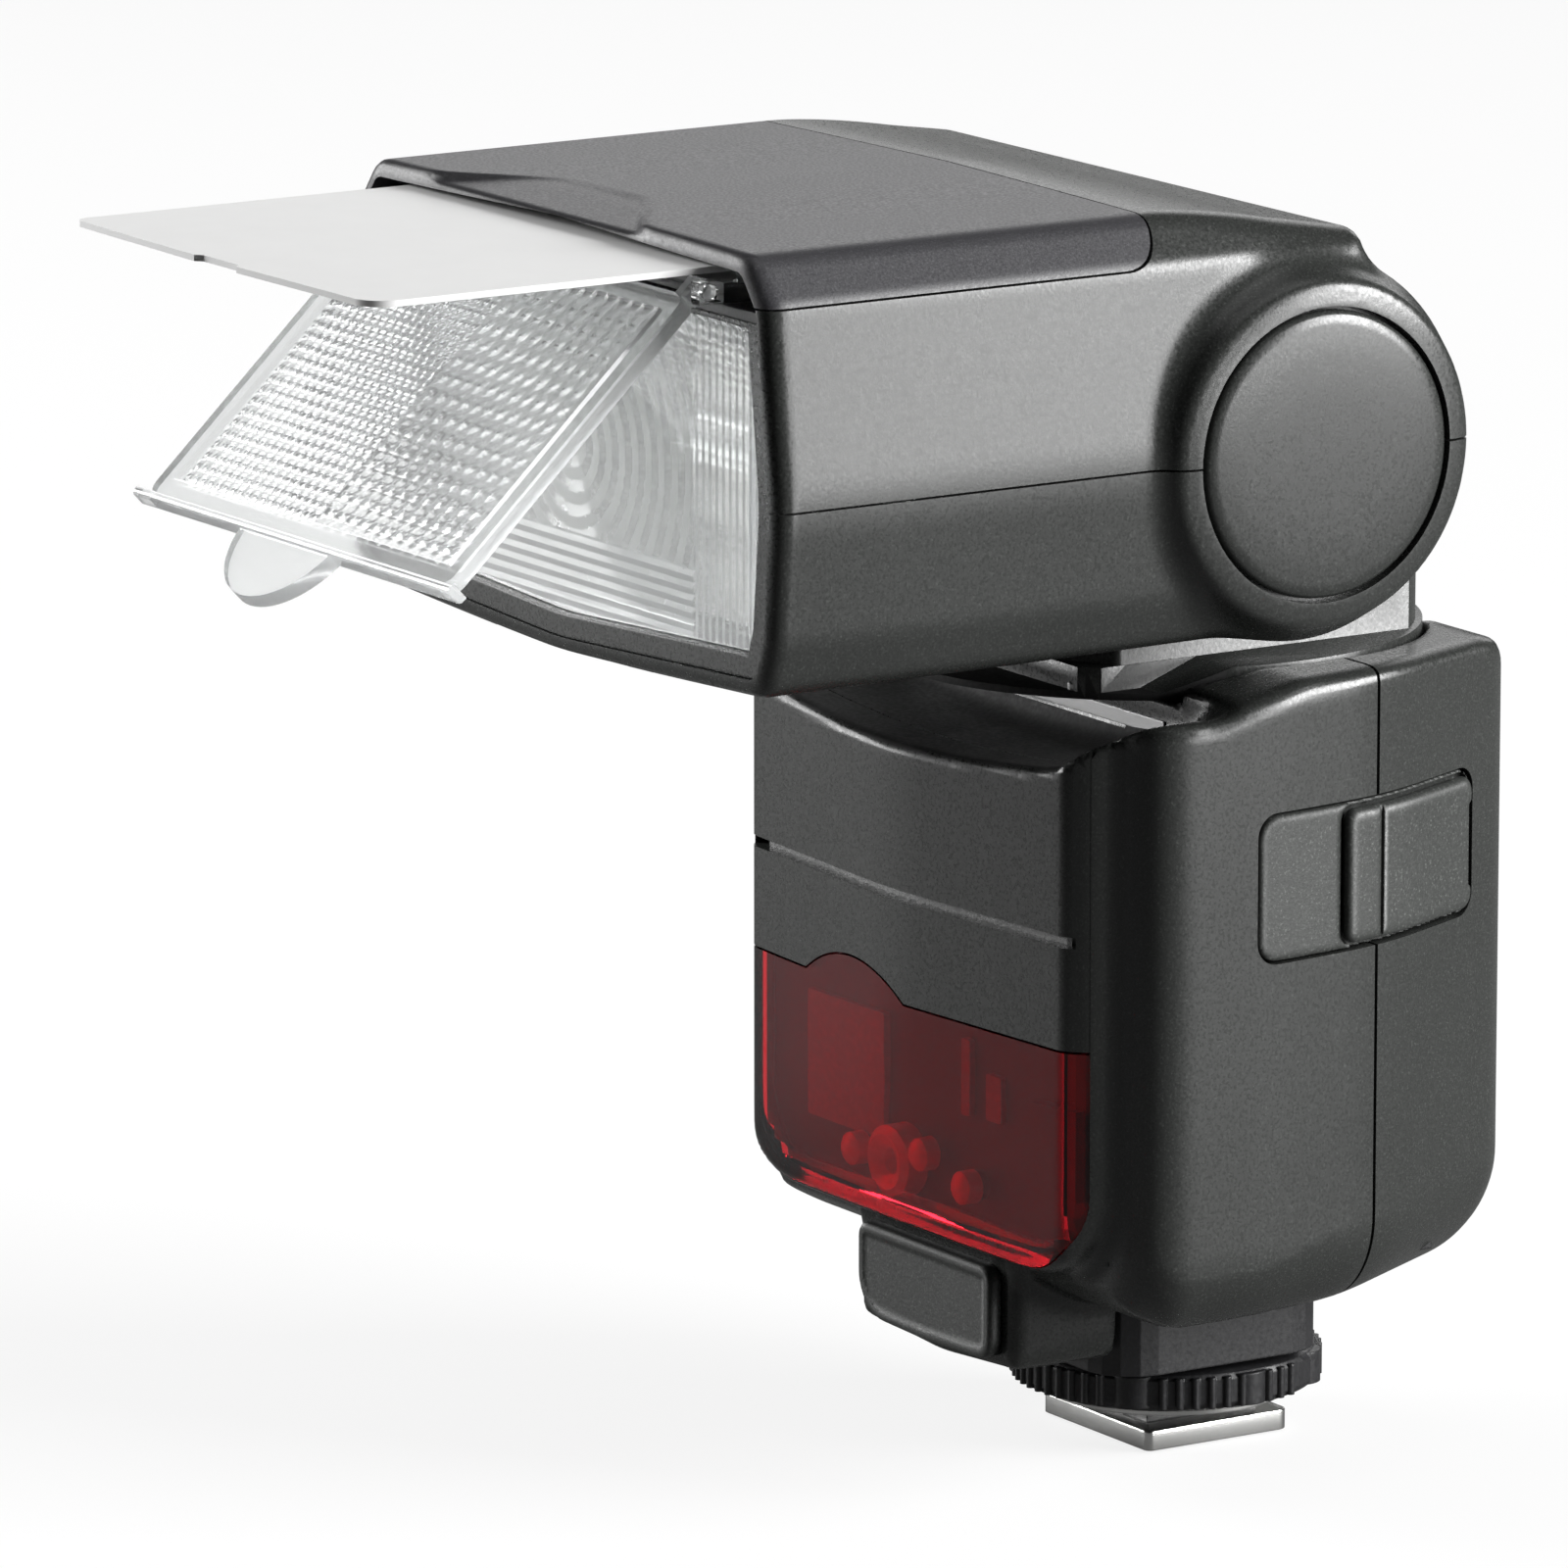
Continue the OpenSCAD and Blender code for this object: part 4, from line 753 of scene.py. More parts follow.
def makeBody():
    shell = grown("shell", bodySkin, (-36.5, -33.5, 10.5), (36.5, 26, 82.4), 0.8)
    cavity = grown("cavity", lambda x, y, z: bodySkin(x, y, z) + bs["wall"], (-35, -32, 12), (35, 24, 81), 1.3)
    carve(shell, [cavity])
    plate = twin(shell, "plate")
    doorLow, doorHigh = nodeBox("battery_door")
    gap = bs["doorGap"]
    carve(shell, [prism("frontOpening", panelOutline(-0.1), 1, -40, -26.9),
                  prism("coverOpening", roundBox(*bs["coverRoom"], 2.3, 6), 0, 20, 40),
                  prism("screenOpening", roundBox(*bs["screenRoom"], 2.5, 6), 1, 23.9, 30),
                  block("screenRoom", *bs["screenDeep"]),
                  block("plugRoom", *bs["plugRoom"]),
                  rod("shaftHole", 2, 70, 80, bs["shaftRadius"], (0, bs["swivelY"]), 64),
                  block("doorOpening", (-40, doorLow[1] - gap, doorLow[2] - gap),
                        (-32.5, doorHigh[1] + gap, doorHigh[2] + gap))])
    gap = bs["splitGap"] / 2
    rear = carve(twin(shell, "rearShell"), [block("frontHalf", (-far, -far, 0), (far, bs["splitY"] + gap, 120))])
    front = carve(shell, [block("rearHalf", (-far, bs["splitY"] - gap, 0), (far, far, 120))])
    front.name = "frontShell"
    dress(front, charcoal, "body", "front_shell", slot="charcoal_shell", shape=bodySkin)
    dress(rear, charcoal, "body", "rear_shell", slot="charcoal_shell", shape=bodySkin)
    # the scoop's faces get painted shade for the dark under the head
    paintShadeWhere(front, paintedShadeBlack, shadedUnderHead)
    carve(plate, [prism("plateZone", panelOutline(0), 1, -40, -27.1)], "INTERSECT")
    middle, half = bs["grooveZ"], bs["grooveHalf"]
    slot = block("grooveSlot", (-28.4, -36, middle - half), (28.4, -20, middle + half))
    under = grown("grooveFloor", grooveFloor, (-33, -33, 54), (33, -18, 61), 0.8)
    carve(plate, [carve(slot, [under])])
    window = carve(twin(plate, "redWindow"), [prism("abovePlate", windowTopLine(0), 1, -40, -20)])
    panel = carve(plate, [prism("panelZone", windowTopLine(bs["seam"]), 1, -40, -20)], "INTERSECT")
    panel.name = "frontPanel"
    dress(panel, charcoal, "body", "front_panel", slot="charcoal_shell", shape=bodySkin)
    # the panel's faces in the scoop get painted shade for the dark under the head
    paintShadeWhere(panel, paintedShadeBlack, shadedUnderHead)
    dress(window, redClear, "body", "red_window", slot="red_clear", shape=bodySkin)


makeBody()
print("body made")

# --- battery door ---

doorSizes = {
    "front": -16.9, "rear": 12.3, "low": 23.0, "high": 52.6, "round": 2.0, "thick": 1.25,
    "gripY": -7.0, "gripZ": 38.0, "gripHalfY": 5.5, "gripHalfZ": 8.0, "gripPitch": 2.0, "gripDepth": 0.45,
    "latchTravel": 3.5, "latchGap": 0.25,
}
ds = doorSizes
doorLine = roundBox(ds["front"], ds["low"], ds["rear"], ds["high"], ds["round"])
latchLow, latchHigh = (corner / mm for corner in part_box("door_latch"))


def doorSkin(x, y, z):
    form = bodyForm(x, y, z)
    # a shallow thumb pad with level ridges
    pad = blendMax(np.abs(y - ds["gripY"]) - ds["gripHalfY"], np.abs(z - ds["gripZ"]) - ds["gripHalfZ"], 1.5)
    wave = 0.5 + 0.5 * np.cos(2 * np.pi * (z - ds["gripZ"] + ds["gripHalfZ"]) / ds["gripPitch"])
    sink = ds["gripDepth"] * np.clip(-pad, 0, 1) * (0.35 + 0.65 * wave)
    plate = blendMax(form + 0.05 + sink, -(form + ds["thick"]), 0.2)
    plate = blendMax(plate, outlineDistance(y, z, doorLine), 0.4)
    # the latch slides in an opening longer than itself
    gap = ds["latchGap"]
    room = boxDistance(x, y, z, (-far, latchLow[1] - gap, latchLow[2] - gap),
                       (-20, latchHigh[1] + ds["latchTravel"], latchHigh[2] + gap), 0.9)
    return blendMax(plate, -room, 0.2)


def latchSkin(x, y, z):
    form = bodyForm(x, y, z)
    room = boxDistance(x, y, z, (-far, latchLow[1], latchLow[2]), (0, latchHigh[1], latchHigh[2]), 0.7)
    ribs = 0.25 * (0.5 - 0.5 * np.cos(2 * np.pi * (y - latchLow[1]) / 1.25))
    return blendMax(blendMax(room, form - 0.6 + ribs, 0.3), -(form + 1.1), 0.2)


def makeDoor():
    door = grown("batteryDoor", doorSkin, (-36.8, -17.5, 22.4), (-28, 12.9, 53.2), 0.36)
    dress(door, charcoal, "battery_door", "battery_door", slot="charcoal_shell", shape=doorSkin)
    latch = grown("doorLatch", latchSkin, (-36.8, 2.6, 39), (-29, 8.5, 47), 0.25)
    dress(latch, blackPlastic, "door_latch", "door_latch", slot="black_plastic", shape=latchSkin)


makeDoor()
print("battery door made")

# --- side cover ---

coverSizes = {
    "front": -13.85, "rear": 16.85, "low": 54.75, "high": 69.05,
    "flapFront": -3.4, "flapRear": 16.4, "flapLow": 55.3, "flapHigh": 68.5,
    "proud": 0.9, "round": 2.2, "lineY": 1.2, "syncHole": (2.2, 3.0), "powerHole": (11, 4.1),
    "holeZ": 61.9,
}
cs = coverSizes
coverLine = roundBox(cs["front"], cs["low"], cs["rear"], cs["high"], cs["round"])
flapLine = roundCorners([(cs["flapFront"], cs["flapLow"], 1.2), (cs["flapRear"], cs["flapLow"], 1.6),
                         (cs["flapRear"], cs["flapHigh"], 1.6), (cs["flapFront"], cs["flapHigh"], 1.2)], 8)


def coverSkin(x, y, z):
    form = bodyForm(x, y, z)
    edge = outlineDistance(y, z, coverLine)
    pocket = blendMax(outlineDistance(y, z, flapLine) - 0.25, -(form + 1.15), 0.2)
    return blendMax(blendMax(blendMax(form, -(form + 2.0), 0.2), edge, 0.5), -pocket, 0.3)


def flapSkin(x, y, z):
    form = bodyForm(x, y, z)
    line = np.maximum(np.abs(y - cs["lineY"]) - 0.16, -(form - cs["proud"] + 0.35))
    nail = boxDistance(x, y, z, (20, cs["flapRear"] - 0.75, 57.6), (40, 30, 65.8), 0.3)
    flap = blendMax(blendMax(form - cs["proud"], -(form + 0.7), 0.3), outlineDistance(y, z, flapLine), 1.0)
    return blendMax(blendMax(flap, -line, 0.1), -nail, 0.3)


def makeCover():
    cover = grown("sideCover", coverSkin, (24, -14.5, 54), (36.6, 17.5, 70), 0.42)
    carve(cover, [rod("plugHole", 0, 10, far, radius, (y, cs["holeZ"]))
                  for y, radius in (cs["syncHole"], cs["powerHole"])])
    dress(cover, rubber, "body", "side_cover", slot="soft_rubber", shape=coverSkin)
    flap = grown("sideFlap", flapSkin, (24, -4, 54.6), (37.4, 17, 69), 0.36)
    dress(flap, rubber, "side_flap", "side_flap", slot="soft_rubber", shape=flapSkin)


makeCover()
print("side cover made")

# --- repeated forms, made with Geometry Nodes ---


def nodeTree(name, inputs):
    kinds = {"Count": "NodeSocketInt", "Finish": "NodeSocketMaterial"}
    tree = bpy.data.node_groups.new(name, "GeometryNodeTree")
    for label in inputs:
        tree.interface.new_socket(label, in_out="INPUT", socket_type=kinds.get(label, "NodeSocketFloat"))
    tree.interface.new_socket("Geometry", in_out="OUTPUT", socket_type="NodeSocketGeometry")
    return tree, tree.nodes.new("NodeGroupInput")


def closeTree(tree, geometry, group):
    # every tree ends in real geometry with its finish on it
    real = addNode(tree, "GeometryNodeRealizeInstances", {0: geometry})
    finish = addNode(tree, "GeometryNodeSetMaterial", {"Geometry": real.outputs[0],
                                                       "Material": group.outputs["Finish"]})
    addNode(tree, "NodeGroupOutput", {0: finish.outputs[0]})


def fromTree(name, tree, values):
    host = bpy.data.objects.new(name, bpy.data.meshes.new(name))
    bpy.context.scene.collection.objects.link(host)
    change = host.modifiers.new("pattern", "NODES")
    change.node_group = tree
    for item in tree.interface.items_tree:
        if item.in_out == "INPUT":
            change[item.identifier] = values[item.name]
    seen = bpy.context.evaluated_depsgraph_get()
    made = bpy.data.meshes.new_from_object(host.evaluated_get(seen), depsgraph=seen)
    host.modifiers.clear()
    host.data = made
    return host


def triangleWave(tree, value, pitch):
    turn = maths(tree, "DIVIDE", value, pitch)
    return maths(tree, "MULTIPLY", maths(tree, "PINGPONG", turn, 0.5), 2.0)


def rippleTree(name, counts, pattern):
    # a closed plate whose +Z side carries the pattern
    tree, group = nodeTree(name, ("Width", "Height", "Thickness", "Pitch", "Relief", "Finish"))
    given = group.outputs
    size = addNode(tree, "ShaderNodeCombineXYZ", {0: given["Width"], 1: given["Height"], 2: given["Thickness"]})
    box = addNode(tree, "GeometryNodeMeshCube", {"Size": size.outputs[0], "Vertices X": counts[0],
                                                 "Vertices Y": counts[1], "Vertices Z": 2})
    place = tree.nodes.new("GeometryNodeInputPosition")
    parts = addNode(tree, "ShaderNodeSeparateXYZ", {0: place.outputs[0]}).outputs
    wave = pattern(tree, parts[0], parts[1], given["Pitch"])
    lift = addNode(tree, "ShaderNodeCombineXYZ", {2: maths(tree, "MULTIPLY", wave, given["Relief"])})
    move = addNode(tree, "GeometryNodeSetPosition", {"Geometry": box.outputs["Mesh"], "Offset": lift.outputs[0],
                                                     "Selection": maths(tree, "GREATER_THAN", parts[2], 0.0)})
    closeTree(tree, move.outputs[0], group)
    return tree


def barRingTree(name):
    # bars set round a circle, from a first angle on
    tree, group = nodeTree(name, ("Count", "First", "Step", "Radius", "Bar Radius", "Bar Length", "Finish"))
    given = group.outputs
    line = addNode(tree, "GeometryNodeMeshLine", {"Count": given["Count"], "Offset": (0, 0, 0)})
    index = tree.nodes.new("GeometryNodeInputIndex")
    angle = maths(tree, "ADD", given["First"], maths(tree, "MULTIPLY", index.outputs[0], given["Step"]))
    spot = addNode(tree, "ShaderNodeCombineXYZ", {
        i: maths(tree, "MULTIPLY", maths(tree, part, angle), given["Radius"])
        for i, part in enumerate(("COSINE", "SINE"))})
    move = addNode(tree, "GeometryNodeSetPosition", {"Geometry": line.outputs[0], "Position": spot.outputs[0]})
    bar = addNode(tree, "GeometryNodeMeshCylinder", {"Vertices": 10, "Radius": given["Bar Radius"],
                                                     "Depth": given["Bar Length"]})
    turn = addNode(tree, "ShaderNodeCombineXYZ", {2: angle})
    put = addNode(tree, "GeometryNodeInstanceOnPoints", {
        "Points": move.outputs[0], "Instance": bar.outputs["Mesh"], "Rotation": turn.outputs[0]})
    closeTree(tree, put.outputs[0], group)
    return tree


def placed(piece, axes, centre):
    # axes: the frame directions that the mesh's own X, Y and Z take
    mesh = piece.data
    co = corners(mesh) @ np.array(axes, float) + np.array(centre) * mm
    mesh.vertices.foreach_set("co", co.ravel())
    if np.linalg.det(np.array(axes, float)) < 0:
        mesh.flip_normals()
    mesh.update()
    return piece


def lathe(name, profile, axis, centre, steps=72):
    # profile: (distance from the axis, place along it) pairs, from axis to axis or closed as a ring
    turn = np.linspace(0, 2 * math.pi, steps, endpoint=False)
    closed = profile[0][0] > 1e-6
    rows, points, faces = [], [], []
    for r, along in profile:
        if r < 1e-6:
            rows.append([len(points)] * steps)
            points.append((0, 0, along))
        else:
            rows.append(list(range(len(points), len(points) + steps)))
            points += [(r * math.cos(t), r * math.sin(t), along) for t in turn]
    pairs = list(zip(rows, rows[1:])) + ([(rows[-1], rows[0])] if closed else [])
    for low, high in pairs:
        for i in range(steps):
            j = (i + 1) % steps
            face = [low[i], low[j], high[j], high[i]]
            face = [v for k, v in enumerate(face) if v not in face[:k]]
            if len(face) > 2:
                faces.append(face)
    p = np.array(points)
    order = {2: (0, 1, 2), 0: (2, 0, 1), 1: (1, 2, 0)}[axis]
    piece = meshObject(name, p[:, order] + np.array(centre), faces)
    tidyNormals(piece)
    return soften(piece)


def soften(piece, angle=38):
    mesh = piece.data
    mesh.shade_smooth()
    mesh.set_sharp_from_angle(angle=math.radians(angle))
    return piece


def bevelled(piece, width, steps=3):
    change = piece.modifiers.new("edge", "BEVEL")
    change.width = width * mm
    change.segments = steps
    change.limit_method = "ANGLE"
    change.angle_limit = math.radians(40)
    settle(piece)
    return soften(piece, 50)


def rippled(name, pattern, pitch, cells, thick, relief):
    # a sheet of whole cells, four steps to a cell
    tree = rippleTree(name + "Ripple", tuple(count * 4 + 1 for count in cells), pattern)
    return fromTree(name, tree, {"Width": cells[0] * pitch * mm, "Height": cells[1] * pitch * mm,
                                 "Thickness": thick * mm, "Pitch": pitch * mm, "Relief": relief * mm,
                                 "Finish": clearPlastic})


# --- lamp front: lens, mask, card and wide panel ---

frontSizes = {
    "lensFront": -69.1, "lensThick": 1.3, "lensInset": 4.2, "lensTop": 121.2, "lensPitch": 1.168, "lensRelief": 0.13,
    "maskFront": -66.5, "maskBack": -65.8, "mouthHalf": 29.6, "mouthZ": 104.0, "mouthTall": 14.4,
    "hinge": (-71.6, 124.15), "wideAngle": 43.3, "wideHalf": 27.5, "wideLength": 37.0, "wideThick": 1.6,
    "lipRise": 1.25, "tabRadius": 8.4, "prismPitch": 1.4, "prismRelief": 0.17,
    "cardZ": 125.95, "cardThick": 0.6, "cardHalf": 27.4, "cardTip": -107.48, "cardRear": -62.5,
    "notchHalf": 3.2,
}
fs = frontSizes


def blendOf(tree, share, first, second):
    rest = maths(tree, "SUBTRACT", 1.0, share)
    return maths(tree, "ADD", maths(tree, "MULTIPLY", rest, first), maths(tree, "MULTIPLY", share, second))


def lensPattern(tree, u, v, pitch):
    # upright ribs at both sides, level ribs along the bottom, wide rings in the middle
    squares = maths(tree, "ADD", maths(tree, "MULTIPLY", u, u), maths(tree, "MULTIPLY", v, v))
    rings = maths(tree, "SQRT", squares)
    side = maths(tree, "GREATER_THAN", maths(tree, "ABSOLUTE", u), 21.5 * mm)
    low = maths(tree, "LESS_THAN", v, -8.5 * mm)
    wave = triangleWave(tree, rings, maths(tree, "MULTIPLY", pitch, 2.0))
    wave = blendOf(tree, low, wave, triangleWave(tree, v, pitch))
    return blendOf(tree, side, wave, triangleWave(tree, u, pitch))


def prismPattern(tree, u, v, pitch):
    # small pyramids, with wider ones on the near side
    coarse = maths(tree, "GREATER_THAN", u, 0.0)
    wide = maths(tree, "MULTIPLY", pitch, 1.5)
    fine = maths(tree, "MULTIPLY", triangleWave(tree, u, pitch), triangleWave(tree, v, pitch))
    large = maths(tree, "MULTIPLY", triangleWave(tree, u, wide), triangleWave(tree, v, wide))
    return blendOf(tree, coarse, fine, large)


def makeLamp():
    outline = roundCorners(insetCorners(headFace, fs["lensInset"]), 8)
    outline[:, 1] = np.minimum(outline[:, 1], fs["lensTop"])
    low, high = nodeBox("lens")
    lens = rippled("lens", lensPattern, fs["lensPitch"], (62, 28), fs["lensThick"], fs["lensRelief"])
    placed(lens, [(1, 0, 0), (0, 0, 1), (0, 1, 0)],
           (0, fs["lensFront"] + fs["lensThick"] / 2, (low[2] + high[2]) / 2))
    carve(lens, [prism("lensEdge", outline, 1, -80, -60)], "INTERSECT")
    dress(lens, lensPlastic, "head", "lens", slot="clear_plastic")
    mask = prism("lampMask", outline, 1, fs["maskFront"], fs["maskBack"])
    half, middle, tall = fs["mouthHalf"], fs["mouthZ"], fs["mouthTall"]
    carve(mask, [prism("maskHole", roundBox(-half, middle - tall, half, middle + tall, 1.5, 6), 1, -80, -60)])
    dress(mask, liner, "head", slot="white_card")


def makeCard():
    half, tip, notch, rear = fs["cardHalf"], fs["cardTip"], fs["notchHalf"], fs["cardRear"]
    low = fs["cardZ"] - fs["cardThick"] / 2
    line = [(-half, tip + 0.6, 1.5), (-notch - 0.7, tip + 0.1, 0), (-notch, tip + 0.75, 0.2),
            (notch, tip + 0.75, 0.2), (notch + 0.7, tip + 0.1, 0), (half, tip + 0.6, 3), (half, rear, 0),
            (-half, rear, 0)]
    card = prism("bounceCard", roundCorners(line, 8), 2, low, low + fs["cardThick"])
    soften(card)
    dress(card, whiteCard, "bounce_card", "bounce_card", slot="white_card")


def makeWidePanel():
    half, long, thick = fs["wideHalf"], fs["wideLength"], fs["wideThick"]
    frame = prism("widePanel", roundCorners([(-half, -long, 1.2), (half, -long, 1.2), (half, -1.3, 1.5),
                                             (-half, -1.3, 1.5)], 6), 2, -thick / 2, thick / 2)
    carve(frame, [block("panelField", (-half + 2.3, -long + 2.1, -thick / 2 + 0.5), (half - 2.3, -3.3, 3))])
    lip = prism("panelLip", roundCorners([(-long - 0.9, -thick / 2, 0.5), (-long + 0.1, -thick / 2, 0),
                                          (-long + 0.1, fs["lipRise"], 0.4), (-long - 0.9, fs["lipRise"], 0.4)], 5),
                0, -half - 1.5, half + 1.5)
    tab = carve(rod("panelTab", 2, -thick / 2, thick / 2, fs["tabRadius"], (-1, -long + 1), 64),
                [block("tabCut", (-20, -long - 0.4, -5), (20, 20, 5))])
    sheet = rippled("panelPrisms", prismPattern, fs["prismPitch"], (36, 23), 0.5, fs["prismRelief"])
    placed(sheet, np.eye(3), (0, (-long + 2.1 - 3.3) / 2, -thick / 2 + 0.65))
    bars = []
    for side in (-1, 1):
        inner, outer = sorted((side * (half - 1), side * (half + 1.45)))
        bars.append(rod("panelPin", 0, inner, outer, 0.8, (0, 0), 20))
        inner, outer = sorted((side * (half - 2), side * half))
        bars.append(block("panelArm", (inner, -1.5, -thick / 2), (outer, 0.8, thick / 2)))
    carve(frame, [lip, tab, sheet] + bars, "UNION")
    turn = math.radians(fs["wideAngle"])
    axes = [(1, 0, 0), (0, math.cos(turn), math.sin(turn)), (0, -math.sin(turn), math.cos(turn))]
    placed(frame, axes, (0, *fs["hinge"]))
    dress(frame, framePlastic, "wide_panel", "wide_panel", slot="clear_plastic")


def makeCaps():
    for side, label in ((1, "capRight"), (-1, "capLeft")):
        r, x, back = hs["capRadius"], hs["capFace"], hs["capFace"] - 1.9
        profile = [(0, back), (r - 0.2, back), (r - 0.1, back + 0.7), (r - 0.2, x - 0.75), (r - 0.55, x - 0.45),
                   (r - 1.5, x - 0.32), (r * 0.7, x - 0.14), (r * 0.4, x - 0.04), (0, x)]
        cap = lathe(label, [(a, b * side) for a, b in profile], 0, (0, hs["tiltY"], hs["tiltZ"]), 96)
        dress(cap, charcoal, "head", "head_caps", slot="charcoal_shell")


makeLamp()
makeCard()
makeWidePanel()
makeCaps()
print("lamp front made")

# --- behind the red window ---

innerSizes = {
    "lampX": -4.5, "lampZ": 29.4, "ringOuter": 3.6, "ringInner": 1.3, "back": -26.6, "front": -29.3,
    "plates": [(-14.5, 37.0, 13.4, 12.6), (6.6, 39.8, 1.5, 7.6), (11.5, 38.6, 2.6, 4.6)],
    "sparks": [(-10.9, 29.4), (8.5, 29.4), (1.0, 31.2)],
    "bead": [(0, -27.5), (1.7, -27.5), (1.65, -29.0), (1.2, -29.35), (0, -29.6)],
}


def makeInner(s):
    outer, inner, back, front = s["ringOuter"], s["ringInner"], s["back"], s["front"]
    profile = [(inner, back), (outer, back), (outer, front + 0.5), (outer - 0.8, front), (inner + 0.5, front + 0.3),
               (inner, front + 0.9)]
    ring = lathe("aimLampRing", profile, 1, (s["lampX"], 0, s["lampZ"]), 48)
    dress(ring, redGlow, "body", "focus_lamp", slot="red_clear")
    for i, (x, z, w, h) in enumerate(s["plates"]):
        plate = prism("sensorPlate%d" % i, roundBox(x - w / 2, z - h / 2, x + w / 2, z + h / 2, 0.3, 4),
                      1, -27.3, -26.65)
        dress(plate, redDim, "body", slot="red_clear")
    for i, (x, z) in enumerate(s["sparks"]):
        bead = lathe("signalBead%d" % i, s["bead"], 1, (x, 0, z), 14)
        dress(bead, redGlow, "body", slot="red_clear")


makeInner(innerSizes)
print("inner parts made")

# --- charging flap, foot and locking ring ---

footSizes = {
    "flapHalf": 11.8, "flapLow": 12.1, "flapHigh": 21.9, "flapFront": -28.9, "flapBack": -27.4,
    "ringLow": 4.5, "ringHigh": 8.6, "ringOuter": 15.0, "ringInner": 6.9, "lobeReach": 15.55, "ribRadius": 0.42,
    "ribSteps": 10, "ribAngle": 6.2, "plateHalf": 9.3, "plateDeep": 8.45, "plateThick": 2.0,
    "ribStarts": (-2.02, -0.62, 0.95, 2.2), "lobeRadius": 2.4, "lobeAngles": (-0.83, 0.0, 0.75, 2.3, -2.2),
}
gs = footSizes
flapOutline = roundCorners([(-gs["flapHalf"], gs["flapLow"] + 0.4, 4.6), (0, gs["flapLow"], 40),
                            (gs["flapHalf"], gs["flapLow"] + 0.4, 2.2), (gs["flapHalf"], gs["flapHigh"], 1.6),
                            (-gs["flapHalf"], gs["flapHigh"], 1.6)], 10)


def flapPad(x, y, z):
    edge = outlineDistance(x, z, flapOutline)
    pad = blendMax(blendMax(edge, gs["flapFront"] - y, 0.7), y - gs["flapBack"], 0.1)
    field = blendMax(edge + 1.0, y - (gs["flapFront"] + 0.18), 0.15)
    return blendMax(pad, -field, 0.15)


def makeFoot():
    pad = grown("chargeFlap", flapPad, (-12.2, -29.3, 11.6), (12.2, -27, 22.4), 0.36)
    dress(pad, rubber, "charge_flap", "charge_flap", slot="soft_rubber", shape=flapPad)
    outer, inner, low, high = gs["ringOuter"], gs["ringInner"], gs["ringLow"], gs["ringHigh"]
    profile = [(inner, low), (outer - 1.1, low), (outer - 0.35, low + 0.35), (outer, low + 0.9), (outer, high - 0.8),
               (outer - 0.3, high - 0.3), (outer - 0.9, high), (inner, high)]
    ring = lathe("lockRing", profile, 2, (0, 0, 0), 120)
    tree = barRingTree("ribRing")
    values = {"Count": gs["ribSteps"], "Step": math.radians(gs["ribAngle"]), "Radius": (outer - 0.02) * mm,
              "Bar Radius": gs["ribRadius"] * mm, "Bar Length": (high - low - 1.0) * mm, "Finish": blackPlastic}
    groups = []
    for i, first in enumerate(gs["ribStarts"]):
        ribs = fromTree("ringRibs%d" % i, tree, {**values, "First": first})
        placed(ribs, np.eye(3), (0, 0, (low + high) / 2))
        groups.append(ribs)
    lobe = gs["lobeRadius"]
    for angle in gs["lobeAngles"]:
        spot = (math.cos(angle) * (gs["lobeReach"] - lobe), math.sin(angle) * (gs["lobeReach"] - lobe))
        groups.append(rod("ringLobe", 2, low + 0.5, high - 0.4, lobe, spot, 28))
    carve(ring, groups, "UNION")
    soften(ring, 30)
    dress(ring, blackPlastic, "lock_ring", "lock_ring", slot="black_plastic")
    half, deep, thick = gs["plateHalf"], gs["plateDeep"], gs["plateThick"]
    plate = prism("footPlate", roundCorners([(-half, -deep, 0.7), (half, -deep, 0.7), (half, deep, 1.2),
                                             (-half, deep, 1.2)], 5), 2, 0, thick)
    low, high = (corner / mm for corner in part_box("locking_pin"))
    middle = (low + high) / 2
    carve(plate, [rod("pinHole", 2, -1, 5, (high.x - low.x) / 2 + 0.15, (middle.x, middle.y), 32)])
    bevelled(plate, 0.35, 3)
    dress(plate, brightPlate, "body", "foot_plate", slot="bright_plate")


turretSizes = {
    "frontRoom": ((-19.5, -32, 79.3), (19.5, -23.1, 84)), "neckHalf": 19.7, "shadeY": -8, "shadeZ": 80.5, "rim": 26,
    "slope": [(-32, 79.3), (-17, 79.3), (-8, 82.6), (-8, 90), (-32, 90)],
    "pin": [(0, 79.2), (0.7, 79.2), (0.7, 79.9), (0.5, 80.1), (0, 80.1)], "pinPlace": (16.8, -22.6, 0),
}
ts = turretSizes


def shadedDiscFront(x, y, z, normals):
    # the flat faces and the rim of the disc's front, which get painted shade for the dark under the head
    rim = np.hypot(x, y - bs["swivelY"]) > ts["rim"]
    return (y < ts["shadeY"]) & (z < ts["shadeZ"]) & (normals[:, 2] > -0.3) & ((normals[:, 2] > 0.3) | rim)


def makeTurret():
    # the rotating base: its disc is lower in front, where the neck stands over the scoop
    turret = twin(cadNodes["turret"], "turretBase")
    work = bmesh.new()
    work.from_mesh(turret.data)
    bmesh.ops.remove_doubles(work, verts=work.verts, dist=1e-6)
    work.to_mesh(turret.data)
    work.free()
    slope = np.array(ts["slope"])
    carve(turret, [block("frontRoom", *ts["frontRoom"]), prism("leftRoom", slope, 0, -30, -ts["neckHalf"]),
                   prism("rightRoom", slope, 0, ts["neckHalf"], 30)])
    bevelled(turret, 0.35, 2)
    dress(turret, charcoal, "turret", "turret", slot="charcoal_shell")
    # the front of the disc gets painted shade for the dark under the head
    paintShadeWhere(turret, paintedShadeBlack, shadedDiscFront)
    # the small stop pin in front of the neck
    pin = lathe("stopPin", ts["pin"], 2, ts["pinPlace"])
    dress(pin, steel, "turret", slot="steel")


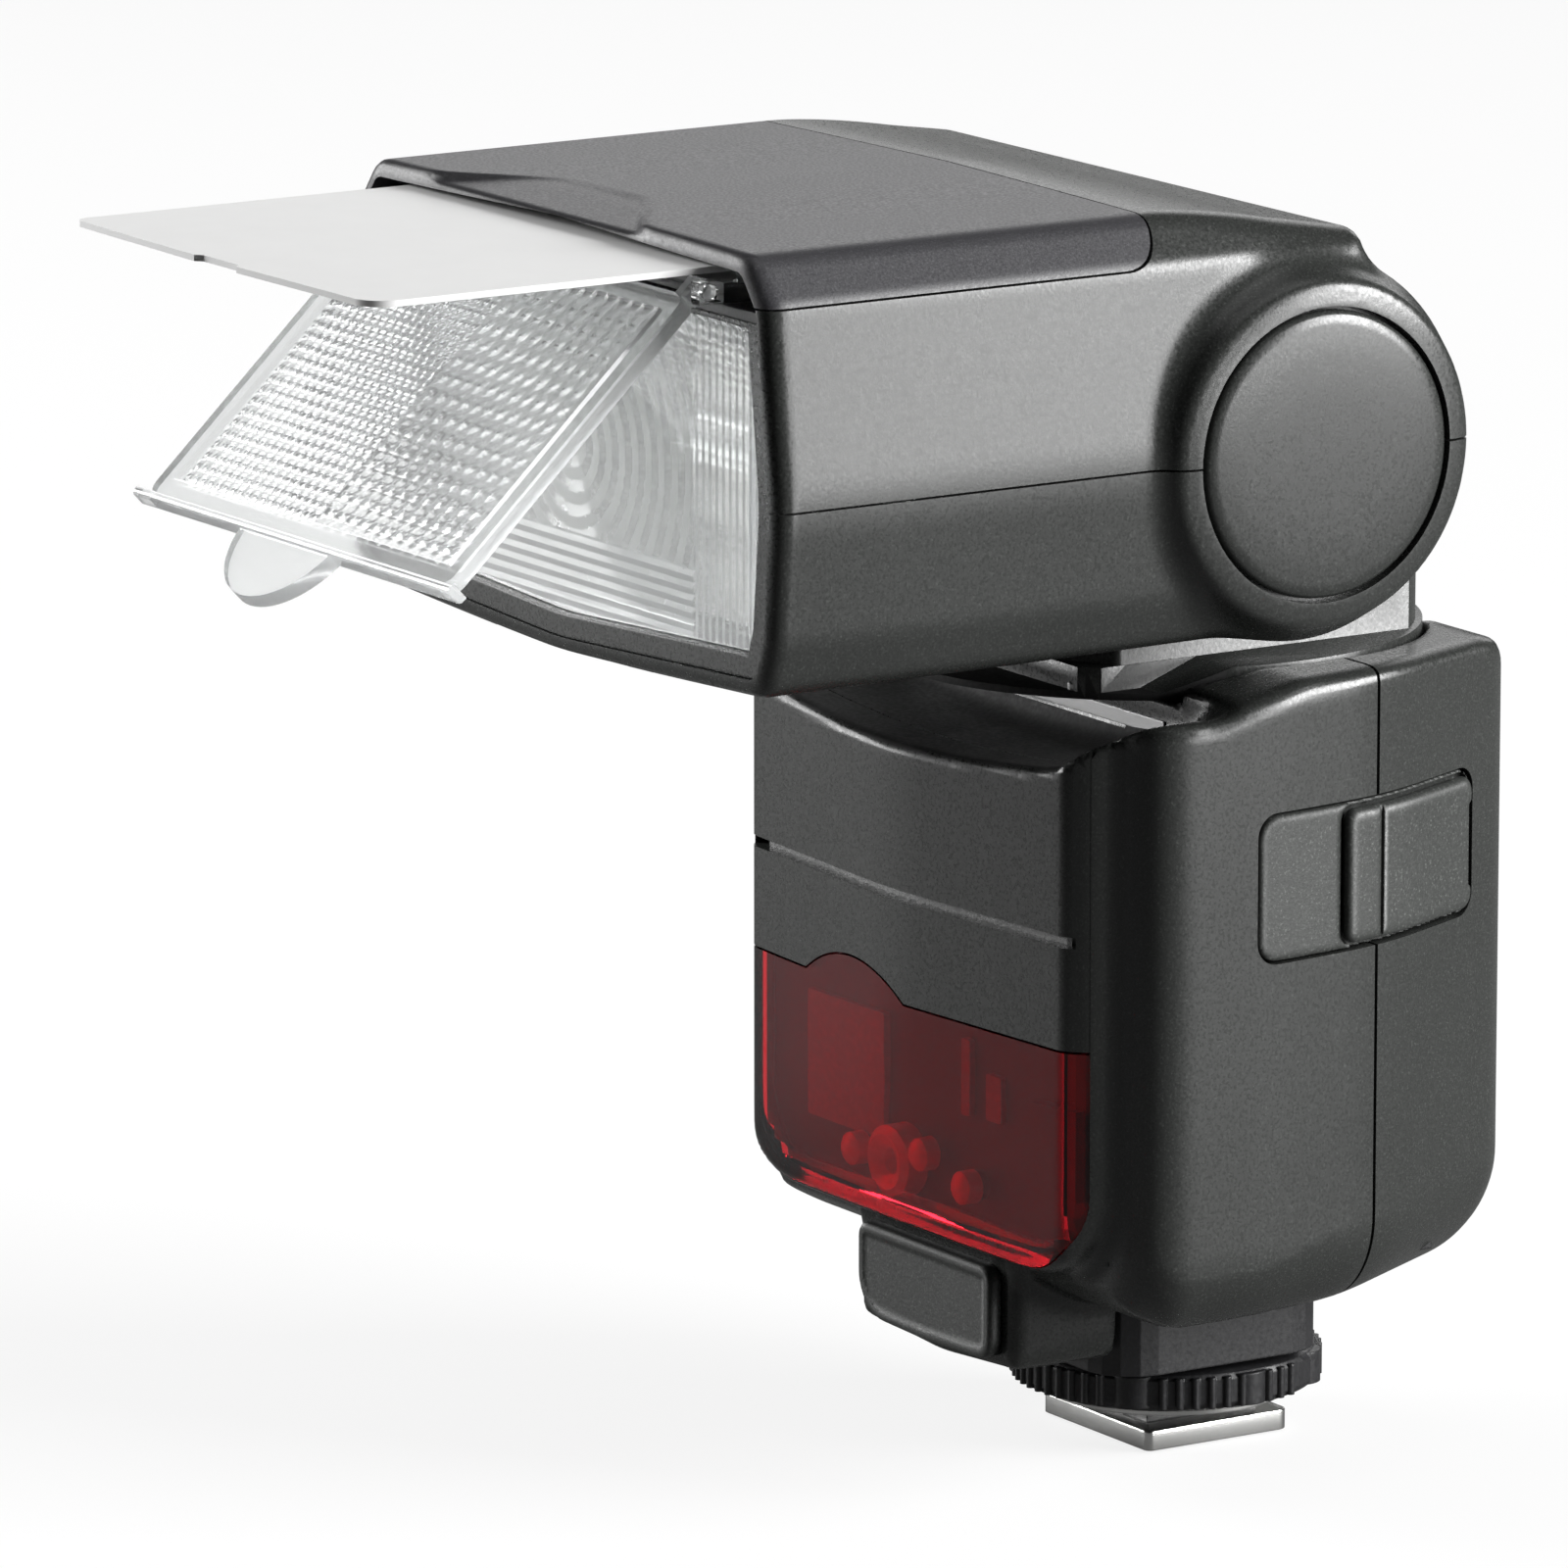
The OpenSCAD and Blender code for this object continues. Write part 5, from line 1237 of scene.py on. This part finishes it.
makeFoot()
makeTurret()
print("foot and turret made")

# --- controls on the back ---

controlSizes = {
    "panelHalf": 17.0, "panelLow": 28.6, "panelHigh": 75.0, "panelBack": 24.2, "panelFace": 25.7,
    "dialZ": 38.2, "dialOuter": 10.4, "dialInner": 4.6, "knurls": 48, "knurl": 0.32,
    "screenHalf": 15.1, "screenLow": 55.5, "screenHigh": 73.3, "keyRound": 1.2, "buttonRound": 1.6,
}


def keyShape(low, high, face, turn):
    line = roundBox(*low, *high, turn)
    middle = ((low[0] + high[0]) / 2, (low[1] + high[1]) / 2)

    def shape(x, y, z):
        dome = face - 0.16 * ((x - middle[0]) ** 2 + (z - middle[1]) ** 2) / (0.5 * (high[0] - low[0])) ** 2
        return blendMax(blendMax(outlineDistance(x, z, line), y - dome, 0.45), 23.0 - y, 0.1)
    return shape


def makeControls(s):
    half, wide, low, high = s["panelHalf"], s["screenHalf"], s["screenLow"], s["screenHigh"]
    plate = prism("controlPanel", roundBox(-half, s["panelLow"], half, s["panelHigh"], 2.4), 1,
                  s["panelBack"], s["panelFace"])
    cutters = [prism("screenHole", roundBox(-wide - 0.1, low - 0.1, wide + 0.1, high + 0.1, 1.1, 6), 1, 20, 30),
               rod("dialHole", 1, 20, 30, s["dialOuter"] + 0.35, (0, s["dialZ"]), 96)]
    for name in ("key_1", "key_2", "key_3", "key_4", "mode_button", "test_button"):
        turn = s["keyRound"] if name.startswith("key") else s["buttonRound"]
        (x0, _, z0), (x1, y1, z1) = nodeBox(name)
        hole = roundBox(x0 - 0.12, z0 - 0.12, x1 + 0.12, z1 + 0.12, turn)
        cutters.append(prism(name + "Hole", hole, 1, 20, 30))
        shape = keyShape((x0, z0), (x1, z1), y1 - 0.02, turn)
        key = grown(name + "Cap", shape, (x0 - 0.4, 22.6, z0 - 0.4), (x1 + 0.4, 27, z1 + 0.4), 0.3)
        dress(key, rubber, name, name, slot="soft_rubber", shape=shape)
    (x0, _, z0), (x1, _, z1) = nodeBox("power_switch")
    cutters.append(prism("switchSlot", roundBox(x0 - 0.2, z0 - 0.2, x1 + 0.2, z1 + 3.8, 0.8, 6), 1, 20, 30))
    carve(plate, cutters)
    bevelled(plate, 0.25, 2)
    dress(plate, glossBlack, "body", "control_panel", slot="black_plastic")
    outer, inner = s["dialOuter"] - 0.35, s["dialInner"]
    profile = [(inner, 23.6), (outer, 23.6), (outer, 27.1), (outer - 0.5, 27.55), (outer - 1.6, 27.65),
               (outer - 2.4, 27.2), (inner + 1.0, 27.1), (inner + 0.4, 27.4), (inner, 27.1)]
    dial = lathe("controlDial", profile, 1, (0, 0, s["dialZ"]), 120)
    knurls = fromTree("dialKnurls", barRingTree("knurlRing"),
                      {"Count": s["knurls"], "First": 0.0, "Step": 2 * math.pi / s["knurls"], "Radius": outer * mm,
                       "Bar Radius": s["knurl"] * mm, "Bar Length": 3.0 * mm, "Finish": blackPlastic})
    placed(knurls, [(1, 0, 0), (0, 0, 1), (0, 1, 0)], (0, 25.45, s["dialZ"]))
    carve(dial, [knurls], "UNION")
    soften(dial, 32)
    dress(dial, blackPlastic, "control_dial", "control_dial", slot="black_plastic")
    glass = prism("screenGlass", roundBox(-wide, low, wide, high, 1.0, 6), 1, 24.35, 25.62)
    bevelled(glass, 0.15, 2)
    dress(glass, smokedGlass, "body", "screen_window", slot="dark_screen")


makeControls(controlSizes)
print("controls made")

# --- finishes of the CAD's own nodes ---

plain = {
    blackPlastic: "foot_stem lock_ring base_block charge_socket power_socket battery_cage slot_tray "
                  "zoom_carriage test_button control_panel",
    rubber: "charge_flap side_cover side_flap", redClear: "red_window focus_lamp",
    clearPlastic: "lens panel_carrier wide_panel flash_tube", whiteCard: "bounce_card",
    brightPlate: "foot_plate lock_washer locking_pin", mirrorCoat: "reflector",
    steel: "swivel_plate swivel_clip swivel_shaft tilt_shafts case_screws guide_rods zoom_motor zoom_screw",
    goldPlate: "foot_contacts battery_contacts sync_socket", circuitBoard: "main_board rear_board",
    sleeve: "flash_capacitor", cellSleeve: "battery_cells", glossBlack: "screen_window screen",
}
for node in cadNodes.values():
    node.data.materials.clear()
    node.data.materials.append(charcoalEdged)
for material, names in plain.items():
    for name in names.split():
        cadNodes[name].data.materials[0] = material
